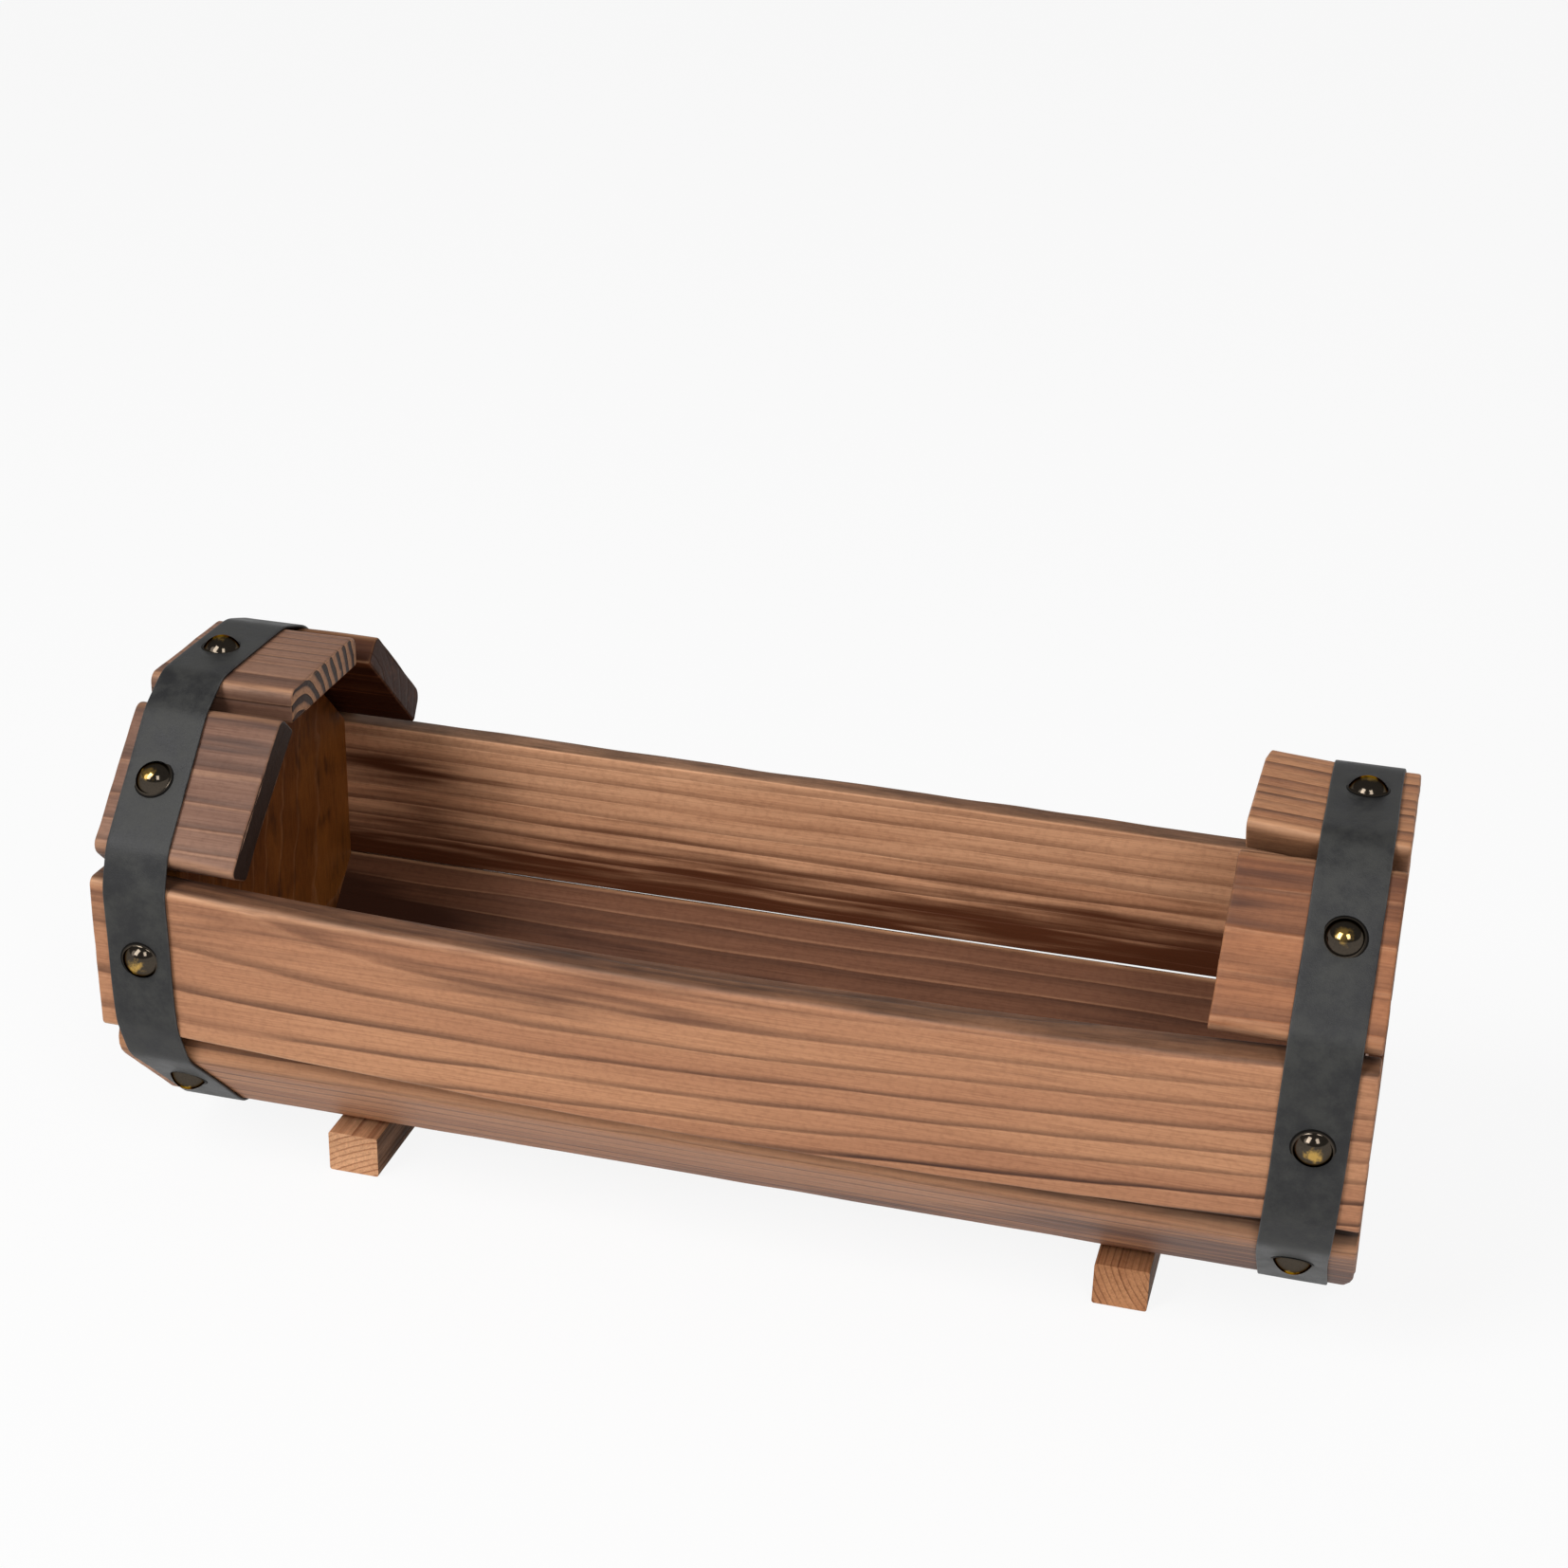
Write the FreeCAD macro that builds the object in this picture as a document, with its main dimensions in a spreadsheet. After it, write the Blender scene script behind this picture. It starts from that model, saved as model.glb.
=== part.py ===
import FreeCAD, Part
import math
import os
import Sketcher

# Half barrel planter: a horizontal eight-sided barrel of plain boards with its top left open,
# nailed to two end panels, bound by two straps and standing on two cross battens.
# X runs along the barrel, the front is at -Y and Z is up.
# The origin is on the floor under the middle of the barrel. All sizes are in millimetres.

# Boards round the barrel, from the bottom up the back and down the front
STAVES = ["bottom", "back_lower", "back", "back_upper", "top", "front_upper", "front", "front_lower"]
# Those that lie over the ends only, so that the top is open
SHORT_STAVES = ["back_upper", "top", "front_upper"]
SIDES = len(STAVES)
HALF_TURN = 180 / SIDES
# Ends of the barrel, with the sign of their places along it
ENDS = {"left": "-", "right": ""}
# Nails in each batten
NAILS = 2

SIZES = {
    # Boards of the barrel; the gap is between the inner corners of neighbours
    "stave_length": 380.0,
    "stave_width": 49.5,
    "stave_thickness": 10.5,
    "stave_gap": 1.0,
    "stave_edge_radius": 3.5,
    "stave_inner_radius": 1.2,
    "short_stave_length": 47.0,
    "panel_thickness": 20.0,
    # Straps round the ends, their middle set in from the ends of the boards
    "hoop_inset": 15.0,
    "hoop_width": 20.6,
    "hoop_thickness": 1.6,
    "hoop_clearance": 0.1,
    # Domed tacks through strap and board into the end panel
    "tack_head_diameter": 13.0,
    "tack_head_height": 4.0,
    "tack_rim": 0.6,
    "tack_shank_diameter": 2.2,
    "tack_tip": 3.0,
    "tack_bite": 9.0,
    # Cross battens under the barrel, their middle set in from the ends of the boards
    "foot_inset": 67.0,
    "foot_width": 16.6,
    "foot_height": 14.0,
    "foot_length": 80.0,
    "foot_edge_radius": 0.8,
    # Nails driven up through each batten into the bottom board, heads sunk in its underside
    "nail_spacing": 34.0,
    "nail_diameter": 1.8,
    "nail_head_diameter": 4.4,
    "nail_head_thickness": 0.9,
    "nail_sink": 1.2,
    "nail_tip": 2.4,
    "nail_bite": 8.0,
    # Room round the shanks and beyond the points of tacks and nails
    "pilot_clearance": 0.1,
    "tip_clearance": 0.8,
}

# Sizes that follow from those above
LAYOUT = {
    "barrel_inner": f"(Sizes.stave_width + Sizes.stave_gap) / (2 * tan({HALF_TURN} deg))",
    "barrel_outer": "barrel_inner + Sizes.stave_thickness",
    "axis_height": "Sizes.foot_height + barrel_outer",
    "hoop_centre": "Sizes.stave_length / 2 - Sizes.hoop_inset",
    "foot_centre": "Sizes.stave_length / 2 - Sizes.foot_inset",
    # Outer faces of the strap, from the barrel's axis, where it lies on a board and bridges two
    "hoop_build": "Sizes.hoop_clearance + Sizes.hoop_thickness",
    "hoop_outer": "barrel_outer + hoop_build",
    "hoop_bend": "Sizes.stave_edge_radius + hoop_build",
    "hoop_bridge": f"(barrel_outer - Sizes.stave_edge_radius) * cos({HALF_TURN} deg)"
                   f" + (Sizes.stave_width / 2 - Sizes.stave_edge_radius) * sin({HALF_TURN} deg)"
                   " + hoop_bend",
    "hoop_flat": f"(hoop_bridge - hoop_outer * cos({HALF_TURN} deg)) / sin({HALF_TURN} deg)",
    "hoop_corner_cut": f"hoop_outer * tan({HALF_TURN} deg) - hoop_flat",
    # Tacks, from the barrel's axis, and nails, from the floor
    "tack_top": "hoop_outer + Sizes.tack_head_height",
    "tack_rim_top": "hoop_outer + Sizes.tack_rim",
    "tack_point": "barrel_inner - Sizes.tack_bite",
    "tack_shoulder": "tack_point + Sizes.tack_tip",
    "tack_hole_depth": "Sizes.tack_bite + Sizes.tip_clearance",
    "tack_hole_radius": "Sizes.tack_shank_diameter / 2 + Sizes.pilot_clearance",
    "nail_head_top": "Sizes.nail_sink + Sizes.nail_head_thickness",
    "nail_point": "Sizes.foot_height + Sizes.nail_bite",
    "nail_shoulder": "nail_point - Sizes.nail_tip",
    "nail_hole_depth": "Sizes.nail_bite + Sizes.tip_clearance",
    "nail_hole_radius": "Sizes.nail_diameter / 2 + Sizes.pilot_clearance",
    "nail_head_hole_radius": "Sizes.nail_head_diameter / 2 + Sizes.pilot_clearance",
}

ALONG_X = FreeCAD.Vector(1, 0, 0)
ALONG_Y = FreeCAD.Vector(0, 1, 0)
UPRIGHT = FreeCAD.Vector(0, 0, 1)
# Reach of a sketch's first rough lines, before its dimensions draw them to size
ROUGH = 10.0
# Slack of a test on a place or a direction
SLACK = 0.001

doc = FreeCAD.newDocument("half_barrel_planter")


def fill_sheet(name, cells, sign=""):
    """Writes named cells, one to a row, each with its name as alias."""
    sheet = doc.addObject("Spreadsheet::Sheet", name)
    for row, (alias, content) in enumerate(cells.items(), start=1):
        sheet.set(f"A{row}", alias)
        sheet.set(f"B{row}", f"{sign}{content}")
        sheet.setAlias(f"B{row}", alias)
    doc.recompute()
    return sheet


fill_sheet("Sizes", SIZES)
layout = fill_sheet("Layout", LAYOUT, "=")


def new_body(label, along=None, height=None, stave="bottom"):
    """A piece of the planter at its place, turned with one of the boards about the barrel's axis."""
    body = doc.addObject("PartDesign::Body", label)
    body.Label = label
    turn = FreeCAD.Rotation(ALONG_X, STAVES.index(stave) * 2 * HALF_TURN)
    body.Placement = FreeCAD.Placement(FreeCAD.Vector(), turn)
    if along:
        body.setExpression("Placement.Base.x", along)
    if height:
        body.setExpression("Placement.Base.z", height)
    return body


def barrel_body(label, along=None, stave="bottom"):
    """A piece whose own origin is on the barrel's axis."""
    return new_body(label, along, "Layout.axis_height", stave)


def origin_feature(body, role):
    """The plane or axis of the body's own origin with this role."""
    return next(part for part in body.Origin.OriginFeatures if part.Role == role)


def new_sketch(body, role, name, lift=None):
    """A sketch on one of the body's origin planes, lifted along the plane's normal if asked."""
    sketch = body.newObject("Sketcher::SketchObject", f"{body.Name}_{name}")
    sketch.AttachmentSupport = (origin_feature(body, role), [""])
    sketch.MapMode = "FlatFace"
    if lift:
        sketch.setExpression("AttachmentOffset.Base.z", lift)
    return sketch


def constrain(sketch, kind, *where):
    """A constraint without a size."""
    return sketch.addConstraint(Sketcher.Constraint(kind, *where))


def dimension(sketch, kind, name, expression, *where):
    """A named dimension of a sketch, bound to an expression."""
    value = float(layout.evalExpression(expression))
    sketch.renameConstraint(constrain(sketch, kind, *where, value), name)
    sketch.setExpression(f"Constraints.{name}", expression)


def closed_run(sketch, corners, arcs=None):
    """Straight lines, or the given arcs, from each corner to the next and back to the first."""
    arcs = arcs or {}
    segments = []
    for number, (start, end) in enumerate(zip(corners, corners[1:] + corners[:1])):
        line = Part.LineSegment(FreeCAD.Vector(*start, 0), FreeCAD.Vector(*end, 0))
        segments.append(sketch.addGeometry(arcs.get(number, line), False))
    for segment, following in zip(segments, segments[1:] + segments[:1]):
        constrain(sketch, "Coincident", segment, 2, following, 1)
    return segments


def rectangle(sketch, width, height, drop=None):
    """Rectangle centred on the vertical axis, standing on the other axis or hung below it."""
    corners = [(-ROUGH, -2 * ROUGH), (ROUGH, -2 * ROUGH), (ROUGH, -ROUGH), (-ROUGH, -ROUGH)]
    lower, right, upper, left = closed_run(sketch, corners)
    constrain(sketch, "Symmetric", lower, 1, lower, 2, -2)
    constrain(sketch, "Horizontal", upper)
    for line in (right, left):
        constrain(sketch, "Vertical", line)
    dimension(sketch, "DistanceX", "width", width, lower, 1, lower, 2)
    dimension(sketch, "DistanceY", "height", height, right, 1, right, 2)
    if drop:
        dimension(sketch, "DistanceY", "drop", drop, upper, 1, -1, 1)
    else:
        constrain(sketch, "PointOnObject", lower, 1, -1)


def octagon(sketch, apothem):
    """Regular outline round the barrel's axis with one side flat at the bottom."""
    angles = [math.radians(HALF_TURN * (2 * side - 1) - 90) for side in range(SIDES)]
    corners = [(ROUGH * math.cos(angle), ROUGH * math.sin(angle)) for angle in angles]
    lines = closed_run(sketch, corners)
    ring = sketch.addGeometry(Part.Circle(FreeCAD.Vector(), UPRIGHT, ROUGH), True)
    constrain(sketch, "Coincident", ring, 3, -1, 1)
    for line in lines:
        constrain(sketch, "PointOnObject", line, 1, ring)
    for line in lines[1:]:
        constrain(sketch, "Equal", lines[0], line)
    constrain(sketch, "Horizontal", lines[0])
    dimension(sketch, "DistanceY", "apothem", apothem, lines[0], 1, -1, 1)


def circle(sketch, radius):
    """One circle round the origin."""
    ring = sketch.addGeometry(Part.Circle(FreeCAD.Vector(), UPRIGHT, ROUGH), False)
    constrain(sketch, "Coincident", ring, 3, -1, 1)
    dimension(sketch, "Radius", "radius", radius, ring)


def circle_pair(sketch, radius, distance, kind):
    """Two equal circles, this far each side of the origin along one axis of the sketch."""
    level, place = {
        "DistanceX": (-1, FreeCAD.Vector(ROUGH, 0, 0)),
        "DistanceY": (-2, FreeCAD.Vector(0, ROUGH, 0)),
    }[kind]
    first = sketch.addGeometry(Part.Circle(place, UPRIGHT, 1.0), False)
    second = sketch.addGeometry(Part.Circle(place * -1, UPRIGHT, 1.0), False)
    constrain(sketch, "PointOnObject", first, 3, level)
    constrain(sketch, "Symmetric", first, 3, second, 3, -1, 1)
    constrain(sketch, "Equal", first, second)
    dimension(sketch, "Radius", "radius", radius, first)
    dimension(sketch, kind, "distance", distance, -1, 1, first, 3)


def turned_profile(sketch, corners, domed=False):
    """Half profile from the lowest to the highest corner, closed along the vertical axis.

    A corner is its radius, with none on the axis, and its height. The last stretch, up to the
    highest corner, may be an arc centred on the axis.
    """
    places = [
        (float(layout.evalExpression(radius or "0")), float(layout.evalExpression(height)))
        for radius, height in corners
    ]
    last = len(corners) - 2
    arcs = {}
    if domed:
        (reach, start), (_, top) = places[last:]
        rise = top - start
        dome = (reach ** 2 + rise ** 2) / (2 * rise)
        crown = Part.Circle(FreeCAD.Vector(0, top - dome, 0), UPRIGHT, dome)
        arcs[last] = Part.ArcOfCircle(crown, math.acos(reach / dome), math.pi / 2)
    segments = closed_run(sketch, places, arcs)
    before = (None, None)
    for number, (radius, height) in enumerate(corners):
        if not radius:
            constrain(sketch, "PointOnObject", segments[number], 1, -2)
        elif radius == before[0]:
            constrain(sketch, "Vertical", segments[number - 1])
        else:
            dimension(sketch, "DistanceX", f"radius_{number}", radius, -1, 1, segments[number], 1)
        if height == before[1]:
            constrain(sketch, "Horizontal", segments[number - 1])
        else:
            dimension(sketch, "DistanceY", f"height_{number}", height, -1, 1, segments[number], 1)
        before = (radius, height)
    if domed:
        constrain(sketch, "PointOnObject", segments[last], 3, -2)


def pad(body, sketch, length, other=None):
    """Solid from a sketch: half each way, or its own length each way along the normal."""
    solid = body.newObject("PartDesign::Pad", f"{sketch.Name}_pad")
    solid.Profile = sketch
    solid.SideType = "Two sides" if other else "Symmetric"
    solid.setExpression("Length", length)
    if other:
        solid.setExpression("Length2", other)
    doc.recompute()
    return solid


def pocket(body, sketch, depth=None, along_normal=False):
    """Cut from a sketch, through all or to a depth, which has to take material away."""
    before = body.Shape.Volume
    cut = body.newObject("PartDesign::Pocket", f"{sketch.Name}_pocket")
    cut.Profile = sketch
    cut.Reversed = along_normal
    if depth:
        cut.setExpression("Length", depth)
    else:
        cut.Type = "ThroughAll"
    doc.recompute()
    if not body.Shape.Volume < before:
        raise RuntimeError(f"{cut.Name} cuts nothing")
    return cut


def turned(body, sketch):
    """Solid of a half profile turned round the sketch's vertical axis."""
    solid = body.newObject("PartDesign::Revolution", f"{sketch.Name}_turned")
    solid.Profile = sketch
    solid.ReferenceAxis = (sketch, ["V_Axis"])
    solid.Angle = 360
    doc.recompute()
    return solid


def dress(body, kind, base, edges, size, value):
    """Fillet or chamfer of some edges of the last solid."""
    feature = body.newObject(f"PartDesign::{kind}", f"{base.Name}_{kind.lower()}")
    feature.Base = (base, edges)
    feature.setExpression(size, value)
    doc.recompute()
    return feature


def repeat_round(body, feature, role, count):
    """Repeats a feature evenly round an axis of the body's own origin."""
    ring = body.newObject("PartDesign::PolarPattern", f"{feature.Name}_ring")
    ring.Originals = [feature]
    ring.Axis = (origin_feature(body, role), [""])
    ring.Angle = 360
    ring.Occurrences = count
    body.Tip = ring
    doc.recompute()


def edges_along(shape, axis, test=None):
    """Names of the straight edges along an axis, all of them or those whose middle passes a test."""
    names = []
    for number, edge in enumerate(shape.Edges, start=1):
        first, last = edge.ParameterRange
        straight = isinstance(edge.Curve, Part.Line) and axis.isParallel(edge.tangentAt(first), SLACK)
        if straight and (test is None or test(edge.valueAt((first + last) / 2))):
            names.append(f"Edge{number}")
    return names


def board(body, length, other=None):
    """A board in its place at the bottom of the barrel, its outer edges rounded well."""
    section = new_sketch(body, "YZ_Plane", "section")
    rectangle(section, "Sizes.stave_width", "Sizes.stave_thickness", "Layout.barrel_inner")
    plain = pad(body, section, length, other)
    level = -layout.barrel_inner - SLACK
    outer = edges_along(plain.Shape, ALONG_X, lambda place: place.z < level)
    rounded = dress(body, "Fillet", plain, outer, "Radius", "Sizes.stave_edge_radius")
    inner = edges_along(rounded.Shape, ALONG_X, lambda place: place.z > level)
    dress(body, "Fillet", rounded, inner, "Radius", "Sizes.stave_inner_radius")


def long_stave(stave):
    """A board along the whole barrel, with a pilot hole for a tack near each end."""
    body = barrel_body(f"stave_{stave}", stave=stave)
    board(body, "Sizes.stave_length")
    holes = new_sketch(body, "XY_Plane", "tack_holes")
    circle_pair(holes, "Layout.tack_hole_radius", "Layout.hoop_centre", "DistanceX")
    pocket(body, holes)
    if stave == "bottom":
        nail_holes(body)
    return body


def nail_holes(body):
    """Blind pilot holes in the bottom board for the nails that hold the battens."""
    for end, sign in ENDS.items():
        holes = new_sketch(body, "XY_Plane", f"nail_holes_{end}", "-Layout.barrel_outer")
        holes.setExpression("AttachmentOffset.Base.x", f"{sign}Layout.foot_centre")
        circle_pair(holes, "Layout.nail_hole_radius", "Sizes.nail_spacing / 2", "DistanceY")
        pocket(body, holes, "Layout.nail_hole_depth", along_normal=True)


def short_stave(stave, end):
    """A board over one end of the barrel only, with its origin at the strap's middle."""
    body = barrel_body(f"stave_{stave}_{end}", f"{ENDS[end]}Layout.hoop_centre", stave)
    reaches = ["Sizes.short_stave_length - Sizes.hoop_inset", "Sizes.hoop_inset"]
    if end == "right":
        reaches.reverse()
    board(body, *reaches)
    hole = new_sketch(body, "XY_Plane", "tack_hole")
    circle(hole, "Layout.tack_hole_radius")
    pocket(body, hole)
    return body


def end_panel(label, sign):
    """Eight-sided board that the staves are nailed to, with a blind pilot hole in each edge."""
    body = barrel_body(label, f"{sign}Layout.hoop_centre")
    outline = new_sketch(body, "YZ_Plane", "outline")
    octagon(outline, "Layout.barrel_inner")
    pad(body, outline, "Sizes.panel_thickness")
    hole = new_sketch(body, "XY_Plane", "tack_hole", "-Layout.barrel_inner")
    circle(hole, "Layout.tack_hole_radius")
    first = pocket(body, hole, "Layout.tack_hole_depth", along_normal=True)
    repeat_round(body, first, "X_Axis", SIDES)
    return body


def hoop(label, sign):
    """Strap drawn tight round the boards: flat on each, bent at its edges, bridging the notches."""
    body = barrel_body(label, f"{sign}Layout.hoop_centre")
    outline = new_sketch(body, "YZ_Plane", "outline")
    octagon(outline, "Layout.hoop_outer")
    block = pad(body, outline, "Sizes.hoop_width")
    corners = edges_along(block.Shape, ALONG_X)
    bridged = dress(body, "Chamfer", block, corners, "Size", "Layout.hoop_corner_cut")
    bends = edges_along(bridged.Shape, ALONG_X)
    bent = dress(body, "Fillet", bridged, bends, "Radius", "Layout.hoop_bend")
    open_sides = [
        f"Face{number}"
        for number, face in enumerate(bent.Shape.Faces, start=1)
        if ALONG_X.isParallel(face.normalAt(0, 0), SLACK)
    ]
    strap = body.newObject("PartDesign::Thickness", f"{body.Name}_strap")
    strap.Base = (bent, open_sides)
    strap.Join = "Intersection"
    strap.Reversed = True
    strap.setExpression("Value", "Sizes.hoop_thickness")
    doc.recompute()
    if not strap.Shape.Volume < bent.Shape.Volume:
        raise RuntimeError(f"{strap.Name} isn't hollow")
    hole = new_sketch(body, "XY_Plane", "tack_hole")
    circle(hole, "Layout.tack_hole_radius")
    repeat_round(body, pocket(body, hole), "X_Axis", SIDES)
    return body


def tacks(label, sign):
    """Tacks with domed heads on the strap and pointed shanks in the end panel, one to each board."""
    body = barrel_body(label, f"{sign}Layout.hoop_centre")
    body.AllowCompound = True
    shank, head = "Sizes.tack_shank_diameter / 2", "Sizes.tack_head_diameter / 2"
    profile = new_sketch(body, "XZ_Plane", "profile")
    corners = [
        (None, "Layout.tack_point"),
        (shank, "Layout.tack_shoulder"),
        (shank, "Layout.hoop_outer"),
        (head, "Layout.hoop_outer"),
        (head, "Layout.tack_rim_top"),
        (None, "Layout.tack_top"),
    ]
    turned_profile(profile, corners, domed=True)
    repeat_round(body, turned(body, profile), "X_Axis", SIDES)
    return body


def foot(label, sign):
    """Cross batten under the bottom board, with two nail holes that widen for the heads."""
    body = new_body(label, f"{sign}Layout.foot_centre")
    section = new_sketch(body, "XZ_Plane", "section")
    rectangle(section, "Sizes.foot_width", "Sizes.foot_height")
    batten = pad(body, section, "Sizes.foot_length")
    edges = edges_along(batten.Shape, ALONG_Y)
    dress(body, "Fillet", batten, edges, "Radius", "Sizes.foot_edge_radius")
    holes = new_sketch(body, "XY_Plane", "nail_holes")
    circle_pair(holes, "Layout.nail_hole_radius", "Sizes.nail_spacing / 2", "DistanceY")
    pocket(body, holes, along_normal=True)
    heads = new_sketch(body, "XY_Plane", "head_holes")
    circle_pair(heads, "Layout.nail_head_hole_radius", "Sizes.nail_spacing / 2", "DistanceY")
    pocket(body, heads, "Layout.nail_head_top", along_normal=True)
    return body


def nails(label, sign):
    """The two nails of one batten."""
    body = new_body(label, f"{sign}Layout.foot_centre")
    body.AllowCompound = True
    shank, head = "Sizes.nail_diameter / 2", "Sizes.nail_head_diameter / 2"
    profile = new_sketch(body, "XZ_Plane", "profile", "Sizes.nail_spacing / 2")
    corners = [
        (None, "Sizes.nail_sink"),
        (head, "Sizes.nail_sink"),
        (head, "Layout.nail_head_top"),
        (shank, "Layout.nail_head_top"),
        (shank, "Layout.nail_shoulder"),
        (None, "Layout.nail_point"),
    ]
    turned_profile(profile, corners)
    repeat_round(body, turned(body, profile), "Z_Axis", NAILS)
    return body


pieces = [long_stave(stave) for stave in STAVES if stave not in SHORT_STAVES]
for end, sign in ENDS.items():
    pieces += [short_stave(stave, end) for stave in SHORT_STAVES]
    pieces.append(end_panel(f"end_panel_{end}", sign))
    pieces.append(hoop(f"hoop_{end}", sign))
    pieces.append(tacks(f"hoop_tacks_{end}", sign))
    pieces.append(foot(f"foot_{end}", sign))
    pieces.append(nails(f"foot_nails_{end}", sign))
doc.recompute()

for item in doc.Objects:
    if {"Invalid", "Error"} & set(item.State):
        raise RuntimeError(f"{item.Label} failed: {item.State}")
for piece in pieces:
    if piece.Shape.isNull() or not piece.Shape.isValid():
        raise RuntimeError(f"{piece.Label} has no valid shape")

os.makedirs("parts", exist_ok=True)
for piece in pieces:
    piece.Shape.exportStep(os.path.join("parts", f"{piece.Label}.step"))
    box = piece.Shape.BoundBox
    print(f"{piece.Label}: {len(piece.Shape.Solids)} solids, {piece.Shape.Volume:.1f} mm3,"
          f" x {box.XMin:.2f} to {box.XMax:.2f}, y {box.YMin:.2f} to {box.YMax:.2f},"
          f" z {box.ZMin:.2f} to {box.ZMax:.2f}")
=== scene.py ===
# %% [markdown]
# This lesson dresses a planter: a horizontal eight-sided half barrel of burnt fir boards, bound by
# two tacked straps and standing on two battens. The imported model is the frame. It fixes every size
# and place, so the pieces made here are set by its numbers and nothing is fitted afterwards.
# The dressed planter may not outgrow it.

# %% Load the frame
import math
import random

import bpy
from mathutils import Matrix, Vector, noise


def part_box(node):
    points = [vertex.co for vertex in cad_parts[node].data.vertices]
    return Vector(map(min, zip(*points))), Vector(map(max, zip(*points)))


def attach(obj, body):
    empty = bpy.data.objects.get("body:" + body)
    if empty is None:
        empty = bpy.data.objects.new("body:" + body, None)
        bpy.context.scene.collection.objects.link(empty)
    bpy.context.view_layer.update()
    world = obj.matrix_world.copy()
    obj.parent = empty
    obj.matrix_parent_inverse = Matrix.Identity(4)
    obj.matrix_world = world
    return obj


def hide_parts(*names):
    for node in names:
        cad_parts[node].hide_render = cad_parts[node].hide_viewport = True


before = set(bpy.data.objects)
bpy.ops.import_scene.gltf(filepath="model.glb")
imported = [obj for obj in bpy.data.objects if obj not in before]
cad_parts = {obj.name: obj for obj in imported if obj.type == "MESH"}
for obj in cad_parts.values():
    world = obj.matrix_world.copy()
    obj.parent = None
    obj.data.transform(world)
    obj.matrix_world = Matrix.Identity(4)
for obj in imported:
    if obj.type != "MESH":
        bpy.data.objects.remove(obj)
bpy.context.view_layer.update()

# %% [markdown]
# The barrel's main sizes could be typed again here, but then a change to the part would leave the
# looks behind. They are read from the boxes of a few nodes instead. A board is described in a frame
# of its own: x along the barrel, u across the board and a distance out from the barrel's axis.

# %% Sizes of the barrel
MM = 0.001
front_low, front_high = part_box("stave_front")
hoop_low, hoop_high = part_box("hoop_right")
tack_low, tack_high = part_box("hoop_tacks_right")

HALF_LENGTH = front_high.x
HALF_WIDTH = (front_high.z - front_low.z) / 2
BARREL_INNER = -front_high.y
BARREL_OUTER = -front_low.y
AXIS_HEIGHT = (front_low.z + front_high.z) / 2
HOOP_CENTRE = (hoop_low.x + hoop_high.x) / 2
HOOP_WIDTH = hoop_high.x - hoop_low.x
HOOP_OUTER = hoop_high.y
TACK_RADIUS = (tack_high.x - tack_low.x) / 2
TACK_HEIGHT = tack_high.y - HOOP_OUTER
EDGE_ROUND = 3.5 * MM

# Boards in turn round the barrel, from the bottom up the back and down the front
ROUND_THE_BARREL = [
    "bottom", "back_lower", "back", "back_upper", "top", "front_upper", "front", "front_lower",
]
EIGHTH = 2 * math.pi / len(ROUND_THE_BARREL)
SIDES = {"left": -1, "right": 1}


def turned_place(turn):
    """The place of a board: the barrel's axis, turned by some eighths about it."""
    return Matrix.Translation((0, 0, AXIS_HEIGHT)) @ Matrix.Rotation(turn * EIGHTH, 4, "X")


print(f"barrel {2000 * HALF_LENGTH:.1f} mm long, {2000 * BARREL_OUTER:.1f} mm across its flats")

# %% [markdown]
# The camera comes next, so that every later choice can be judged in the photograph's own view.
# It could be aimed by hand, but the edges of the boards in the photograph fix it well: their
# vanishing points and lengths give its place, its three angles and its focal length in pixels.

# %% Camera
PHOTO_PIXELS = 1654
FOCAL_PIXELS = 2861.9
SENSOR_MM = 36.0
CAMERA_FROM_AXIS = Vector((0.19074, -0.71584, 0.39520))
CAMERA_YAW = 0.2537
CAMERA_PITCH = -0.4341
CAMERA_ROLL = 0.0258


def camera_axes(yaw, pitch, roll):
    """Right, up and forward of a camera that is turned, tilted and rolled."""
    forward = Vector((
        -math.sin(yaw) * math.cos(pitch),
        math.cos(yaw) * math.cos(pitch),
        math.sin(pitch),
    ))
    level = Vector((math.cos(yaw), math.sin(yaw), 0))
    upright = level.cross(forward)
    right = math.cos(roll) * level + math.sin(roll) * upright
    up = math.cos(roll) * upright - math.sin(roll) * level
    return right, up, forward


def add_object(name, data):
    """A new object in the scene."""
    made = bpy.data.objects.new(name, data)
    bpy.context.scene.collection.objects.link(made)
    return made


lens = bpy.data.cameras.new("photo_camera")
lens.sensor_fit = "HORIZONTAL"
lens.sensor_width = SENSOR_MM
lens.lens = FOCAL_PIXELS / PHOTO_PIXELS * SENSOR_MM
camera = add_object("photo_camera", lens)
right, up, forward = camera_axes(CAMERA_YAW, CAMERA_PITCH, CAMERA_ROLL)
camera.matrix_world = Matrix.Translation(CAMERA_FROM_AXIS + Vector((0, 0, AXIS_HEIGHT))) @ Matrix((
    (right.x, up.x, -forward.x, 0),
    (right.y, up.y, -forward.y, 0),
    (right.z, up.z, -forward.z, 0),
    (0, 0, 0, 1),
))
bpy.context.scene.camera = camera
bpy.context.scene.view_settings.view_transform = "Standard"
print(f"camera lens {lens.lens:.1f} mm")

# %% [markdown]
# Materials are built from nodes, and most lines of such code only add nodes and join them. These
# few helpers keep that short: one adds a node, one joins a socket or writes a plain value, and the
# others are arithmetic, mixing of colours and steps between two limits. They find the node tree from
# the sockets that they are given. The last ones read a point of a piece, join a finished look to its
# shader, and make a mesh from points and faces.

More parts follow.
